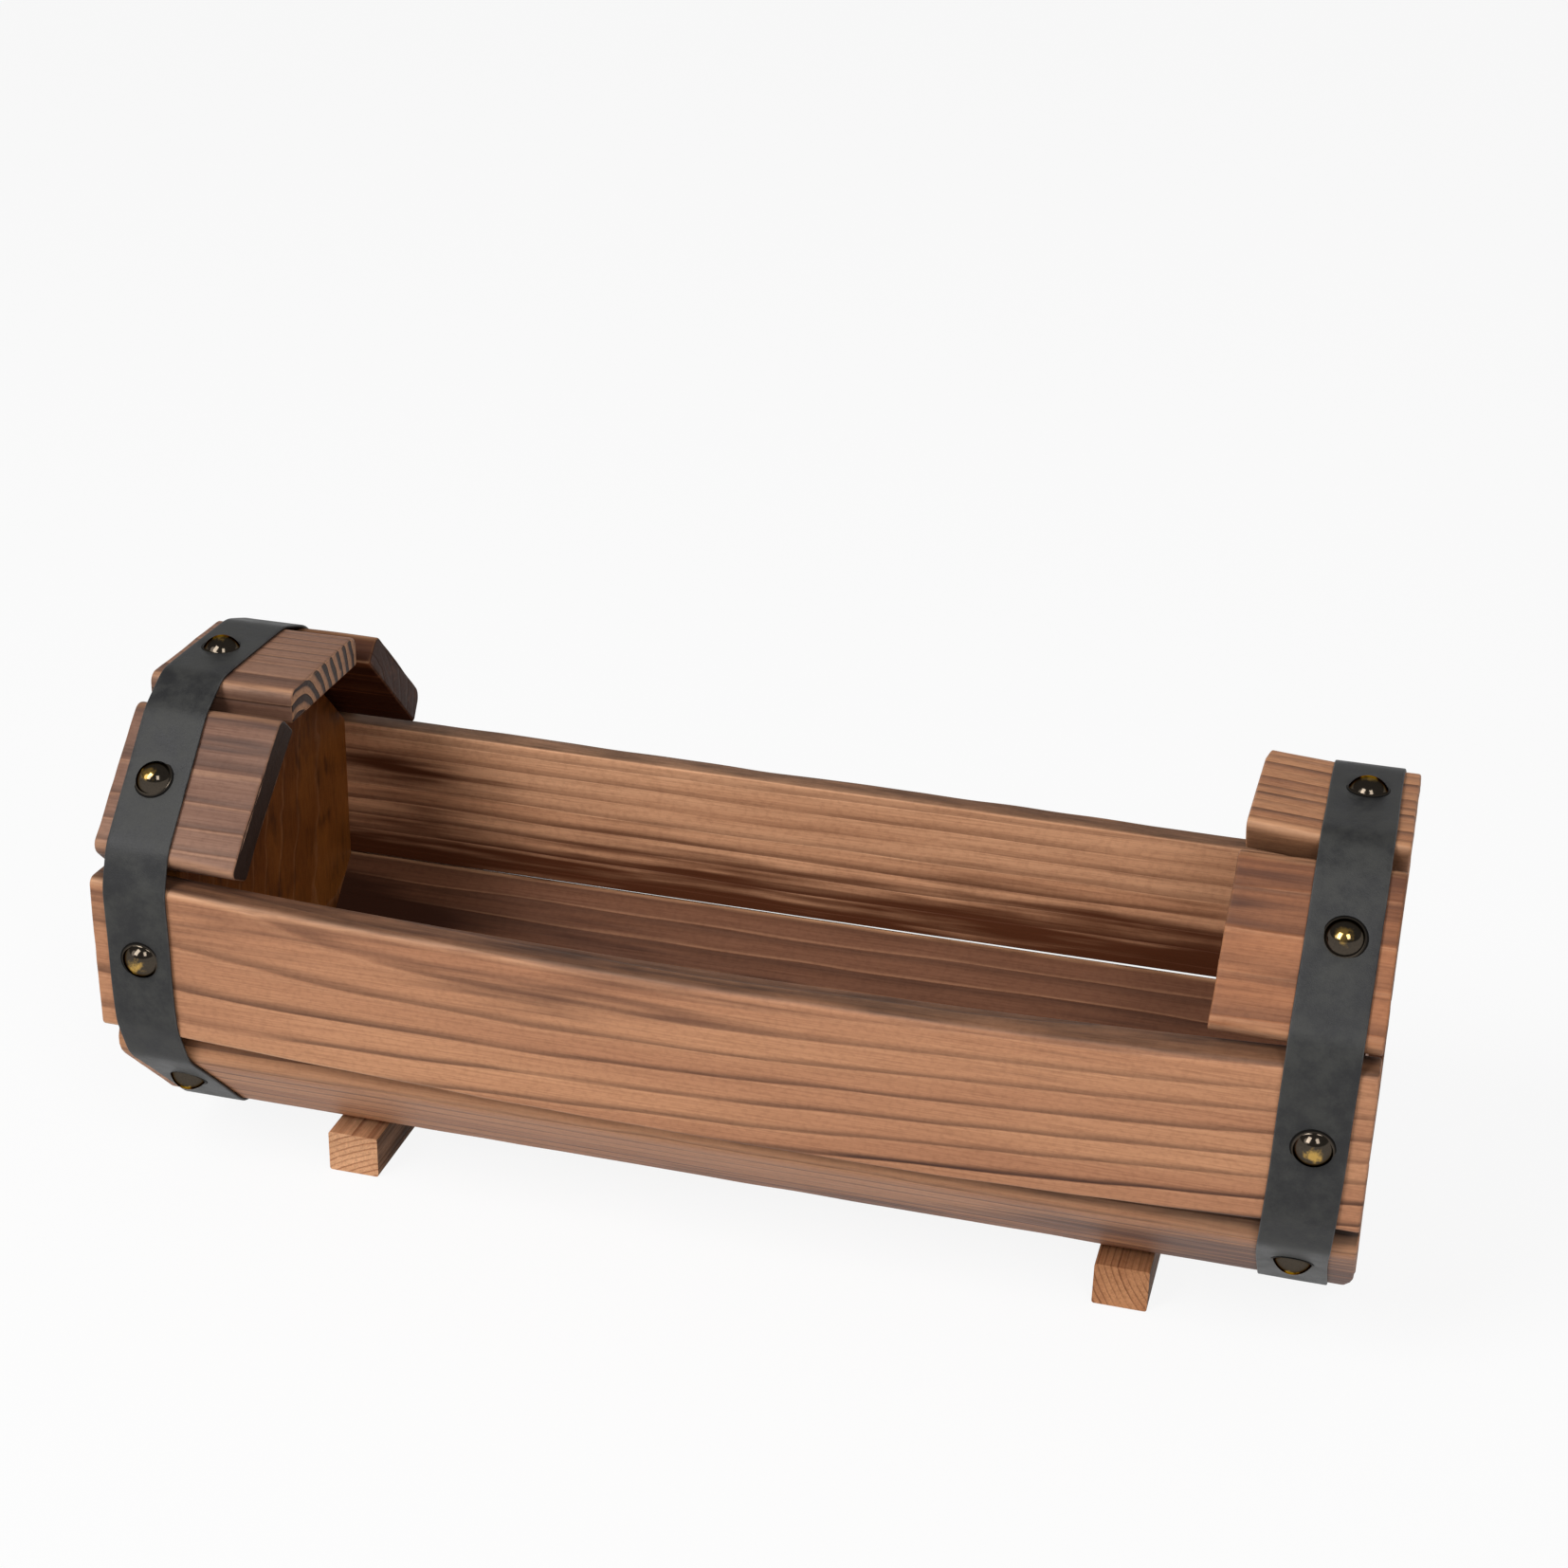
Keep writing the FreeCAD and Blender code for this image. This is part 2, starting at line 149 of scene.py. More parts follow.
# %% Helpers
def tint(red, green, blue):
    """A colour written as a screen shows it, from 0 to 255, as the linear colour of a shader."""
    shares = [level / 255 for level in (red, green, blue)]
    linear = [((s + 0.055) / 1.055) ** 2.4 if s > 0.04045 else s / 12.92 for s in shares]
    return (*linear, 1.0)


def add_node(tree, kind, **settings):
    """Adds a node and sets its properties."""
    made = tree.nodes.new(f"ShaderNode{kind}")
    for name, value in settings.items():
        setattr(made, name, value)
    return made


def tree_of(*values):
    """The node tree of the first socket among some values."""
    return next(value.id_data for value in values if isinstance(value, bpy.types.NodeSocket))


def feed(target, value):
    """Joins a socket to an input, or writes a plain value there."""
    if isinstance(value, bpy.types.NodeSocket):
        target.id_data.links.new(value, target)
    else:
        target.default_value = value


def feed_all(made, values):
    """Feeds the first inputs of a node and returns its outputs."""
    for target, value in zip(made.inputs, values):
        feed(target, value)
    return made.outputs


def calc(operation, *values, clamp=False):
    """One step of arithmetic."""
    made = add_node(tree_of(*values), "Math", operation=operation, use_clamp=clamp)
    return feed_all(made, values)[0]


def times(*values, clamp=False):
    """A product of two values."""
    return calc("MULTIPLY", *values, clamp=clamp)


def times_plus(*values, clamp=False):
    """A product of two values and a third one added to it."""
    return calc("MULTIPLY_ADD", *values, clamp=clamp)


def one_minus(value):
    """What a share leaves of the whole."""
    return calc("SUBTRACT", 1.0, value)


def calc_vector(operation, *values):
    """One step of arithmetic on vectors."""
    made = add_node(tree_of(*values), "VectorMath", operation=operation)
    return feed_all(made, values)["Value" if operation == "LENGTH" else "Vector"]


def mix_colours(share, first, second, mode="MIX"):
    """Two colours mixed by a share from 0 to 1."""
    made = add_node(tree_of(share, first, second), "Mix", data_type="RGBA", blend_type=mode)
    for number, value in ((0, share), (6, first), (7, second)):
        feed(made.inputs[number], value)
    return made.outputs[2]


def step_between(value, low, high):
    """A soft step from 0 at the low limit to 1 at the high one."""
    made = add_node(tree_of(value), "MapRange", interpolation_type="SMOOTHSTEP")
    return feed_all(made, (value, low, high))[0]


def cloud(place, stretch, seed, detail=2.0, roughness=0.5):
    """Noise from 0 to 1 on a place in millimetres, with its own fineness along each axis."""
    made = add_node(tree_of(place), "TexNoise")
    shifted = calc_vector("ADD", calc_vector("MULTIPLY", place, stretch), seed)
    settings = {"Vector": shifted, "Scale": 1.0, "Detail": detail, "Roughness": roughness}
    for label, value in settings.items():
        feed(made.inputs[label], value)
    return made.outputs[0]


def given_cloud(given, stretch, **fineness):
    """Noise on the place that a group is given, from the seed that it is given."""
    return cloud(given["Place"], stretch, given["Seed"], **fineness)


def in_millimetres(place):
    """A place in metres as one in millimetres."""
    return calc_vector("MULTIPLY", place, (1 / MM, 1 / MM, 1 / MM))


# The sockets that don't hold a plain value
KINDS = {
    "Vector": ["Place", "Pith", "Lean", "Seed"],
    "Color": ["Color", "Pale", "Tan", "Line", "Char"],
}


def new_group(name, inputs, outputs):
    """An empty shader group with named sockets, and its inner input and output nodes."""
    tree = bpy.data.node_groups.new(name, "ShaderNodeTree")
    for way, labels in (("INPUT", inputs), ("OUTPUT", outputs)):
        for label in labels:
            kind = next((kind for kind, holders in KINDS.items() if label in holders), "Float")
            tree.interface.new_socket(name=label, in_out=way, socket_type=f"NodeSocket{kind}")
    return tree, tree.nodes.new("NodeGroupInput").outputs, tree.nodes.new("NodeGroupOutput").inputs


def use_group(group, **values):
    """Places a group, with its inputs given by name, and returns its outputs."""
    made = add_node(tree_of(*values.values()), "Group", node_tree=group)
    for label, value in values.items():
        feed(made.inputs[label.replace("_", " ")], value)
    return made.outputs


def new_material(name):
    """A material with only its Principled shader, and that shader's inputs."""
    material = bpy.data.materials.new(name)
    material.use_nodes = True
    return material, material.node_tree, material.node_tree.nodes["Principled BSDF"].inputs


def split(vector):
    """The three parts of a vector."""
    return feed_all(add_node(tree_of(vector), "SeparateXYZ"), [vector])


def rearranged(vector, order):
    """A vector with its parts in another order."""
    parts = split(vector)
    return feed_all(add_node(tree_of(vector), "CombineXYZ"), [parts[letter] for letter in order])[0]


def own_spot(tree, kind="Object"):
    """A point of a piece in the piece's own frame, or what its surface faces there."""
    return add_node(tree, "TexCoord").outputs[kind]


def carried(tree, label):
    """A value that a mesh carries at each point."""
    return add_node(tree, "Attribute", attribute_name=label).outputs["Fac"]


def facing_mask(part, low, high):
    """A mask that is 1 where a surface faces one way or its opposite."""
    return step_between(calc("ABSOLUTE", part), low, high)


def wood_seed(seed):
    """Where the noise of one piece of wood starts."""
    return seed * 7.3, seed * 3.1, seed * 5.7


def dress(shader, look, gloss, depth_mm):
    """Joins a look to a shader: its colour, its roughness and its height as relief of some depth."""
    shader["Specular IOR Level"].default_value = gloss
    feed(shader["Base Color"], look["Color"])
    feed(shader["Roughness"], look["Roughness"])
    bump = add_node(tree_of(look["Height"]), "Bump")
    bump.inputs["Distance"].default_value = depth_mm * MM
    feed(bump.inputs["Height"], look["Height"])
    feed(shader["Normal"], bump.outputs["Normal"])


def mesh_of(name, points, faces, flat_from=None, label=None, marks=()):
    """A smooth mesh, flat from some face on, that may carry a value at each point."""
    mesh = bpy.data.meshes.new(name)
    mesh.from_pydata(points, [], faces)
    smooth = len(faces) if flat_from is None else flat_from
    mesh.polygons.foreach_set("use_smooth", [number < smooth for number in range(len(faces))])
    if label:
        mesh.attributes.new(label, "FLOAT", "POINT").data.foreach_set("value", marks)
    return mesh


def band(low, high, size):
    """The faces between two rings of points, each ring given by its first point."""
    for here in range(size):
        there = (here + 1) % size
        yield low + here, low + there, high + there, high + here


def lathe(profile, segments):
    """Points of a profile of radius and height, turned round an upright axis."""
    turns = [2 * math.pi * number / segments for number in range(segments)]
    return [
        Vector((radius * math.cos(turn), radius * math.sin(turn), height))
        for radius, height in profile for turn in turns
    ]


print("helpers ready")

# %% [markdown]
# The planter stands on a plain pale floor in soft studio light. One big lamp could light it, but the
# photograph shows more: even light from the room, a soft key from the left that leaves the faces
# turned to the right in shade, and two windows high in front, which show as bright bars on the tacks.
# The background is white there. More light would bleach the wood, so the floor glows only for what
# the camera sees directly or in a reflection, and it keeps part of the shadow. Its rim curves up into
# a low wall, so that no horizon shows from any side.

# %% Floor and light
FLOOR_REACH = 5.0
RIM_CURVE = 1.0
WALL_HEIGHT = 2.2
RIM_STEPS_UP = 8
FLOOR_SEGMENTS = 64
FLOOR_TINT = tint(228, 228, 228)
FLOOR_ROUGHNESS = 0.9
FLOOR_GLOW = 0.9
ROOM_LIGHT = 0.26
KEY_LIGHT = 0.35
KEY_SOFTNESS = math.radians(26)
KEY_FROM = Vector((-0.65, -0.60, 0.62))
# Watts, size and place of each window
WINDOWS = {
    "window_left": (25.0, (0.65, 1.1), Vector((-0.75, -1.2, 1.55))),
    "window_right": (11.0, (0.5, 0.8), Vector((0.75, -1.2, 1.55))),
}


def add_lamp(name, kind, energy, place, target):
    """A lamp of some kind at a place, turned to a target."""
    data = bpy.data.lights.new(name, kind)
    data.energy = energy
    turn = (target - place).to_track_quat("-Z", "Y")
    add_object(name, data).matrix_world = Matrix.Translation(place) @ turn.to_matrix().to_4x4()
    return data


def floor_profile():
    """From the edge of the flat floor up the curve to the top of the wall: radius and height."""
    for step in range(RIM_STEPS_UP + 1):
        turn = math.pi / 2 * step / RIM_STEPS_UP
        yield FLOOR_REACH + RIM_CURVE * math.sin(turn), RIM_CURVE * (1 - math.cos(turn))
    yield FLOOR_REACH + RIM_CURVE, WALL_HEIGHT


def make_floor():
    """A round floor with its rim curved up into a wall."""
    points = lathe(floor_profile(), FLOOR_SEGMENTS)
    faces = [tuple(range(FLOOR_SEGMENTS))]
    for low in range(0, len(points) - FLOOR_SEGMENTS, FLOOR_SEGMENTS):
        faces += band(low + FLOOR_SEGMENTS, low, FLOOR_SEGMENTS)
    return mesh_of("floor", points, faces)


floor_mesh = make_floor()
floor = add_object("floor", floor_mesh)

floor_paint, floor_tree, floor_shader = new_material("floor_paint")
floor_shader["Base Color"].default_value = FLOOR_TINT
floor_shader["Roughness"].default_value = FLOOR_ROUGHNESS
path = add_node(floor_tree, "LightPath").outputs
shown = calc("MAXIMUM", path["Is Camera Ray"], path["Is Glossy Ray"])
shown = calc("MAXIMUM", shown, path["Is Transmission Ray"])
glow = add_node(floor_tree, "Emission")
glow_mix = add_node(floor_tree, "MixShader")
feed(glow_mix.inputs[0], times(shown, FLOOR_GLOW))
feed(glow_mix.inputs[1], floor_tree.nodes["Principled BSDF"].outputs[0])
feed(glow_mix.inputs[2], glow.outputs[0])
feed(floor_tree.nodes["Material Output"].inputs["Surface"], glow_mix.outputs[0])
floor_mesh.materials.append(floor_paint)

world = bpy.data.worlds.new("room")
world.use_nodes = True
room = world.node_tree.nodes["Background"].inputs
room["Color"].default_value = (1, 1, 1, 1)
room["Strength"].default_value = ROOM_LIGHT
bpy.context.scene.world = world

barrel_middle = Vector((0, 0, AXIS_HEIGHT))
key = add_lamp("key", "SUN", KEY_LIGHT, barrel_middle + KEY_FROM, barrel_middle)
key.angle = KEY_SOFTNESS
for name, (watts, (width, height), place) in WINDOWS.items():
    window = add_lamp(name, "AREA", watts, place, barrel_middle)
    window.shape = "RECTANGLE"
    window.size = width
    window.size_y = height
print("lamps:", [item.name for item in bpy.data.lights])

# %% [markdown]
# The boards show the rings of the log they were sawn from: lines along the faces and arcs on the
# sawn ends. A striped texture on each face would not meet at the corners. So the group works out,
# for any point in the board, how far it lies from the pith of an imagined log, and each full ring
# width ends in a dark line of late wood. Faces and ends then agree, as they do in real wood.

# %% Rings of the log
# Shares of a ring's width: where its late wood is darkest, where that ends and where early wood fades
LATE_PEAK = 0.92
LATE_ENDS = (0.94, 1.0)
EARLY_FADES = (0.02, 0.14)
# How far the rings are jolted, in ring widths, and how slowly the late wood darkens at first
RING_JOLT = 0.33
LATE_CURVE = 1.6


def make_log_rings():
    tree, given, result = new_group(
        "log_rings",
        ["Place", "Pith", "Lean", "Ring Width",
         "Wander", "Late Share", "Seed"],
        ["Late", "Early", "Season", "Fibre"],
    )
    along = split(given["Place"])["X"]
    pith = calc_vector("MULTIPLY_ADD", given["Lean"], along, given["Pith"])
    from_pith = calc_vector("SUBTRACT", given["Place"], pith)
    across = calc_vector("MULTIPLY", from_pith, (0, 1, 1))
    distance = calc_vector("LENGTH", across)
    slow = given_cloud(given, (0.006, 0.012, 0.012))
    sway = times(calc("SUBTRACT", slow, 0.5), given["Wander"])
    shiver = given_cloud(given, (0.014, 0.16, 0.16), detail=1.0)
    jolt = times(given["Ring Width"], RING_JOLT)
    swayed = times_plus(shiver, jolt, calc("ADD", distance, sway))
    phase = calc("DIVIDE", swayed, given["Ring Width"])
    year = calc("FLOOR", phase)
    part = calc("FRACT", phase)
    chance = add_node(tree, "TexWhiteNoise", noise_dimensions="1D")
    feed(chance.inputs["W"], year)
    season = chance.outputs["Value"]
    begin = calc("SUBTRACT", LATE_PEAK, given["Late Share"])
    rise = calc("POWER", step_between(part, begin, LATE_PEAK), LATE_CURVE)
    fall = one_minus(step_between(part, *LATE_ENDS))
    fading = step_between(given_cloud(given, (0.011, 0.12, 0.12)), 0.2, 0.52)
    strength = times(times_plus(season, 0.5, 0.5), fading)
    feed(result["Late"], times(times(rise, fall), strength))
    feed(result["Early"], one_minus(step_between(part, *EARLY_FADES)))
    feed(result["Season"], season)
    fibre = given_cloud(given, (0.03, 1.6, 1.6), detail=3.0, roughness=0.65)
    feed(result["Fibre"], fibre)
    return tree


log_rings = make_log_rings()
print("group:", log_rings.name)

# %% [markdown]
# The planks were scorched with a flame and brushed. The flame leaves brown clouds that stretch along
# the grain, and handling rubs the burnt skin off the rounded edges. Both are masks that several
# woods need, so each is a small group of its own. The edge mask starts from a value that the mesh
# carries at each point, which is 1 on a rounded edge and 0 on a flat face.

# %% Scorch and rubbed edges
def make_scorch():
    tree, given, result = new_group(
        "scorch",
        ["Place", "Amount", "Seed"],
        ["Burn"],
    )
    broad = given_cloud(given, (0.012, 0.045, 0.045), detail=3.0)
    streaks = given_cloud(given, (0.015, 0.35, 0.35), detail=2.0)
    mixed = times_plus(streaks, 0.45, times(broad, 0.55))
    start = calc("SUBTRACT", 0.72, times(given["Amount"], 0.5))
    feed(result["Burn"], step_between(mixed, start, calc("ADD", start, 0.28)))
    return tree


def make_rubbed_edge():
    tree, given, result = new_group(
        "rubbed_edge",
        ["Place", "Edge", "Amount", "Seed"],
        ["Bare"],
    )
    patchy = given_cloud(given, (0.05, 0.6, 0.6), detail=4.0, roughness=0.6)
    worn = times(given["Edge"], step_between(patchy, 0.15, 0.75))
    feed(result["Bare"], times(worn, given["Amount"]))
    return tree


scorch = make_scorch()
rubbed_edge = make_rubbed_edge()
print("groups:", scorch.name, rubbed_edge.name)

# %% [markdown]
# A burnt board puts these together: pale and tan wood that changes from ring to ring, dark lines of
# late wood, fine fibres, short flecks across them where the rays of the log are cut, scorch over all
# of that, and bare wood on the edges. It is one group that gives a colour, a roughness and a height,
# and every board's material places it with its own log.

# %% Burnt board
BARE_WOOD = tint(204, 154, 116)
# Soot on burnt flanks and ends, and painted shade where a board's flank or a batten's side is darkened for
# shade
SOOT_AND_SHADE = tint(38, 25, 19)
FIBRE_SHADE = tint(150, 128, 116)
RAY_SHADE = tint(150, 118, 100)
# How squarely a surface has to face along or across a board to count as its end or flank
END_FACING = (0.7, 0.95)
FLANK_FACING = (0.5, 0.85)
LOOK = ["Color", "Roughness", "Height"]


def make_burnt_board():
    tree, given, result = new_group(
        "burnt_board",
        ["Place", "Pith", "Lean", "Ring Width",
         "Wander", "Seed", "Edge", "End", "Pale",
         "Tan", "Line", "Char", "Line Depth",
         "Late Share", "Burn", "Black", "Fresh", "Wear"],
        LOOK,
    )
    rings = use_group(
        log_rings, Place=given["Place"], Pith=given["Pith"], Lean=given["Lean"],
        Ring_Width=given["Ring Width"], Wander=given["Wander"], Seed=given["Seed"],
        Late_Share=times_plus(given["Fresh"], 0.4, given["Late Share"]),
    )
    burn = use_group(scorch, Place=given["Place"], Amount=given["Burn"], Seed=given["Seed"])["Burn"]
    long_edge = times(given["Edge"], one_minus(given["End"]))
    bare = use_group(
        rubbed_edge, Place=given["Place"], Edge=long_edge, Amount=given["Wear"],
        Seed=given["Seed"],
    )["Bare"]
    broad = given_cloud(given, (0.006, 0.05, 0.05))
    tone = times_plus(rings["Season"], 0.25, times(broad, 0.9))
    wood = mix_colours(step_between(tone, 0.3, 0.85), given["Pale"], given["Tan"])
    boost = times_plus(given["Fresh"], 4.0, given["Line Depth"])
    sawn = times(given["Fresh"], 0.8)
    early = times_plus(rings["Early"], 0.22, sawn, clamp=True)
    lighter = mix_colours(early, wood, BARE_WOOD)
    late = times(rings["Late"], boost, clamp=True)
    lined = mix_colours(late, lighter, given["Line"])
    fine = step_between(rings["Fibre"], 0.35, 0.75)
    fibred = mix_colours(times(fine, 0.35), lined, FIBRE_SHADE, "MULTIPLY")
    rays = step_between(given_cloud(given, (0.5, 0.7, 0.7)), 0.42, 0.7)
    flecked = mix_colours(times(rays, 0.16), fibred, RAY_SHADE, "MULTIPLY")
    burnt = mix_colours(burn, flecked, given["Char"])
    sooty = given_cloud(given, (0.05, 0.25, 0.25), detail=3.0)
    black = times(given["Black"], times_plus(sooty, 0.8, 0.4), clamp=True)
    blackened = mix_colours(black, burnt, SOOT_AND_SHADE)
    feed(result["Color"], mix_colours(bare, blackened, BARE_WOOD))
    feed(result["Roughness"], times_plus(rings["Fibre"], 0.30, 0.42))
    ridges = times_plus(rings["Late"], -0.6, 0.7)
    feed(result["Height"], times_plus(rings["Fibre"], 0.3, ridges))
    return tree


burnt_board = make_burnt_board()


def wood_tones(pale, tan, line, char):
    """The four colours of a burnt wood, by the names of the group's inputs."""
    return {"Pale": tint(*pale), "Tan": tint(*tan), "Line": tint(*line), "Char": tint(*char)}


BOARD_RELIEF = 0.22
WARM = wood_tones((194, 139, 99), (164, 111, 78), (72, 42, 28), (92, 57, 41))
HONEY = wood_tones((196, 142, 104), (175, 122, 89), (72, 42, 28), (92, 57, 41))
SMOKED = wood_tones((151, 113, 91), (121, 85, 67), (52, 32, 24), (68, 46, 38))
LIGHT = wood_tones((232, 177, 137), (204, 148, 111), (84, 47, 29), (86, 46, 26))
DEEP = wood_tones((174, 115, 77), (142, 88, 55), (72, 37, 21), (74, 40, 24))
UMBER = wood_tones((122, 80, 57), (98, 62, 43), (46, 25, 16), (60, 33, 21))


def board_place(tree):
    """A point of the board in millimetres, measured from the middle of its outer face."""
    return in_millimetres(calc_vector("ADD", own_spot(tree), (0, 0, BARREL_OUTER)))


def face_masks(tree):
    """Masks that are 1 on the sawn left end of a board, on its right one and on its long flanks."""
    facing = split(own_spot(tree, "Normal"))
    right = step_between(facing["X"], *END_FACING)
    left = step_between(facing["X"], *[-limit for limit in END_FACING])
    return left, right, facing_mask(facing["Y"], *FLANK_FACING)


def scorch_and_shade_patch(place, along, across, length, width, strength):
    """Extra darkening round one spot of a board, which fades out at half a length and half a width. It is a
    scorch mark on some boards and painted shade on others.
    """
    offset = calc_vector("SUBTRACT", place, (along, across, 0))
    scaled = calc_vector("MULTIPLY", offset, (2 / length, 2 / width, 0))
    fading = step_between(calc_vector("LENGTH", scaled), 0.2, 1.0)
    return times(one_minus(fading), strength)


def board_material(name, seed, pith, lean=(0, 0), ring=6.0, wander=6.0, late=0.3, line=(0.85, 0),
                   burn=(0.3, 0, 0), patch=None, flank=(0.35, 0), end=(0.15, 0.15),
                   fresh=0.0, wear=(0.6, 0), gloss=0.3, tones=WARM):
    """Burnt wood of one board, sawn from a log with its pith at a place in the board's section.

    late is the dark share of each ring. line and burn are a value in the middle of the board and its
    change for each millimetre across, and burn has one more for each millimetre along; on some boards
    these changes of burn are painted shade, darker where shade falls. patch is one darker spot, a
    scorch mark on some boards and painted shade on others. flank says how black the flanks are and wear
    how bare the edges are, both with their change for each millimetre along; where the flanks' black
    grows along a board, that is painted shade. end says how black the left and the right end are and
    fresh how bare they are.
    """
    material, tree, shader = new_material(name)
    place = board_place(tree)
    parts = split(place)
    left, right, flanks = face_masks(tree)
    ends = calc("ADD", left, right)
    burnt = times_plus(parts["X"], burn[2], burn[0])
    if patch:
        burnt = calc("ADD", burnt, scorch_and_shade_patch(place, *patch))
    blacker = times_plus(parts["X"], flank[1], flank[0], clamp=True)
    sooty_ends = times_plus(left, end[0], times(right, end[1]))
    black = times_plus(flanks, blacker, sooty_ends)
    wood = use_group(
        burnt_board, Place=place, Pith=(0, *pith), Lean=(0, *lean), Ring_Width=ring,
        Wander=wander, Seed=wood_seed(seed), Edge=carried(tree, "edge"), End=ends,
        **tones, Line_Depth=times_plus(parts["Y"], line[1], line[0]), Late_Share=late,
        Burn=times_plus(parts["Y"], burn[1], burnt), Black=black,
        Fresh=times(ends, fresh),
        Wear=times_plus(parts["X"], wear[1], wear[0], clamp=True),
    )
    dress(shader, wood, gloss, BOARD_RELIEF)
    return material


print("group:", burnt_board.name)

# %% [markdown]
# A board could be a plain block with a bevel. Real ones are less even: their edges are sanded round
# by hand, a long one is a little crooked, the widths differ and the ends are not cut quite square.
# So each board is lofted: a section with four rounded corners is drawn at many stations along the
# board, and its width, rounding and place change a little from one station to the next.
# Where a board is wider than its share, only its outer corner moves, so that it clears its neighbour.

# %% Board sections
INNER_ROUND = 0.9
LEAST_ROUND = 0.3 * MM
END_ROUND = 0.8 * MM
# How far edges, outer faces and sawn ends wander, and their rounding as a share of itself
EDGE_WAVE = 0.4 * MM
FACE_WAVE = 0.1 * MM
RAGGED = 0.25 * MM
ROUND_WAVE = 0.22
# The length in metres over which each of them does
EDGE_RUN = 0.05
FACE_RUN = 0.04
RAGGED_RUN = 0.007
ROUND_RUN = 0.02
STATION_STEP = 2.5 * MM
ROUND_STEPS = 5
FACE_STEPS = 9
FLANK_STEPS = 2
ROLL_STEPS = 4
# Weight of a cut corner's tip that makes the cut an arc
ARC_WEIGHT = math.cos(math.pi / 4)
# Share of a board's length over which its end curls up
CURL_SHARE = 0.5
# The outer corners, first and last, are rubbed most on the side of the outer face
RUB_LEANS = [0.66, 1.0, 1.0, 1.6]


def wave(place, seed, reach):
    """A smooth random value within a reach, along a board."""
    return reach * noise.noise(Vector((place, seed, 0.5)))


def round_corner(before, tip, after, size, lean):
    """Points round a corner of a section, each with a mark that peaks where the lean puts it."""
    start = tip + (before - tip).normalized() * size
    end = tip + (after - tip).normalized() * size
    for step in range(ROUND_STEPS + 1):
        share = step / ROUND_STEPS
        first, middle, last = (1 - share) ** 2, 2 * ARC_WEIGHT * share * (1 - share), share ** 2
        spot = (first * start + middle * tip + last * end) / (first + middle + last)
        yield spot, math.sin(math.pi * share ** lean) ** 2


def board_section(tips, rounds):
    """Closed outline of a board from its four corners, each rounded by its own size."""
    steps = [FLANK_STEPS, FACE_STEPS, FLANK_STEPS, FACE_STEPS]
    corners = [
        list(round_corner(tips[number - 1], tip, tips[(number + 1) % 4], rounds[number], RUB_LEANS[number]))
        for number, tip in enumerate(tips)
    ]
    outline = []
    for number, corner in enumerate(corners):
        following = corners[(number + 1) % 4][0][0]
        outline += corner
        for step in range(1, steps[number]):
            outline.append((corner[-1][0].lerp(following, step / steps[number]), 0.0))
    return outline


def stations(length):
    """Places along a board, each with how far the section is drawn in there to round the ends."""
    turns = [math.pi / 2 * step / ROLL_STEPS for step in range(ROLL_STEPS)]
    roll = [(END_ROUND * (1 - math.cos(turn)), END_ROUND * (1 - math.sin(turn))) for turn in turns]
    count = max(4, round(length / STATION_STEP))
    run = length - 2 * END_ROUND
    middle = [(END_ROUND + run * step / count, 0.0) for step in range(count + 1)]
    return roll + middle + [(length - place, drawn) for place, drawn in reversed(roll)]


def loft(name, rings, marks, closed=False):
    """A mesh through rings of points, with flat ends or closed on itself, and its edge marks."""
    size = len(rings[0])
    points = [point for ring in rings for point in ring]
    pairs = list(zip(range(len(rings)), range(1, len(rings))))
    if closed:
        pairs.append((len(rings) - 1, 0))
    faces = [face for first, second in pairs for face in band(first * size, second * size, size)]
    flat_from = len(faces)
    if not closed:
        faces.append(tuple(reversed(range(size))))
        faces.append(tuple(range(len(points) - size, len(points))))
    return mesh_of(name, points, faces, flat_from, "edge", marks)


def between(ends, share):
    """A value that changes evenly from one end of a board to the other."""
    return (1 - share) * ends[0] + share * ends[1]


def outer_edges(share, place, minus=(0, 0), plus=(0, 0), crook=0.0):
    """The outer edges of a board at a place along it: its minus edge, its plus edge and its bend."""
    bend = max(0.0, crook * MM * (1 - (place / HOOP_CENTRE) ** 2))
    low = -HALF_WIDTH - between(minus, share) * MM + bend
    return low, HALF_WIDTH + between(plus, share) * MM + bend, bend


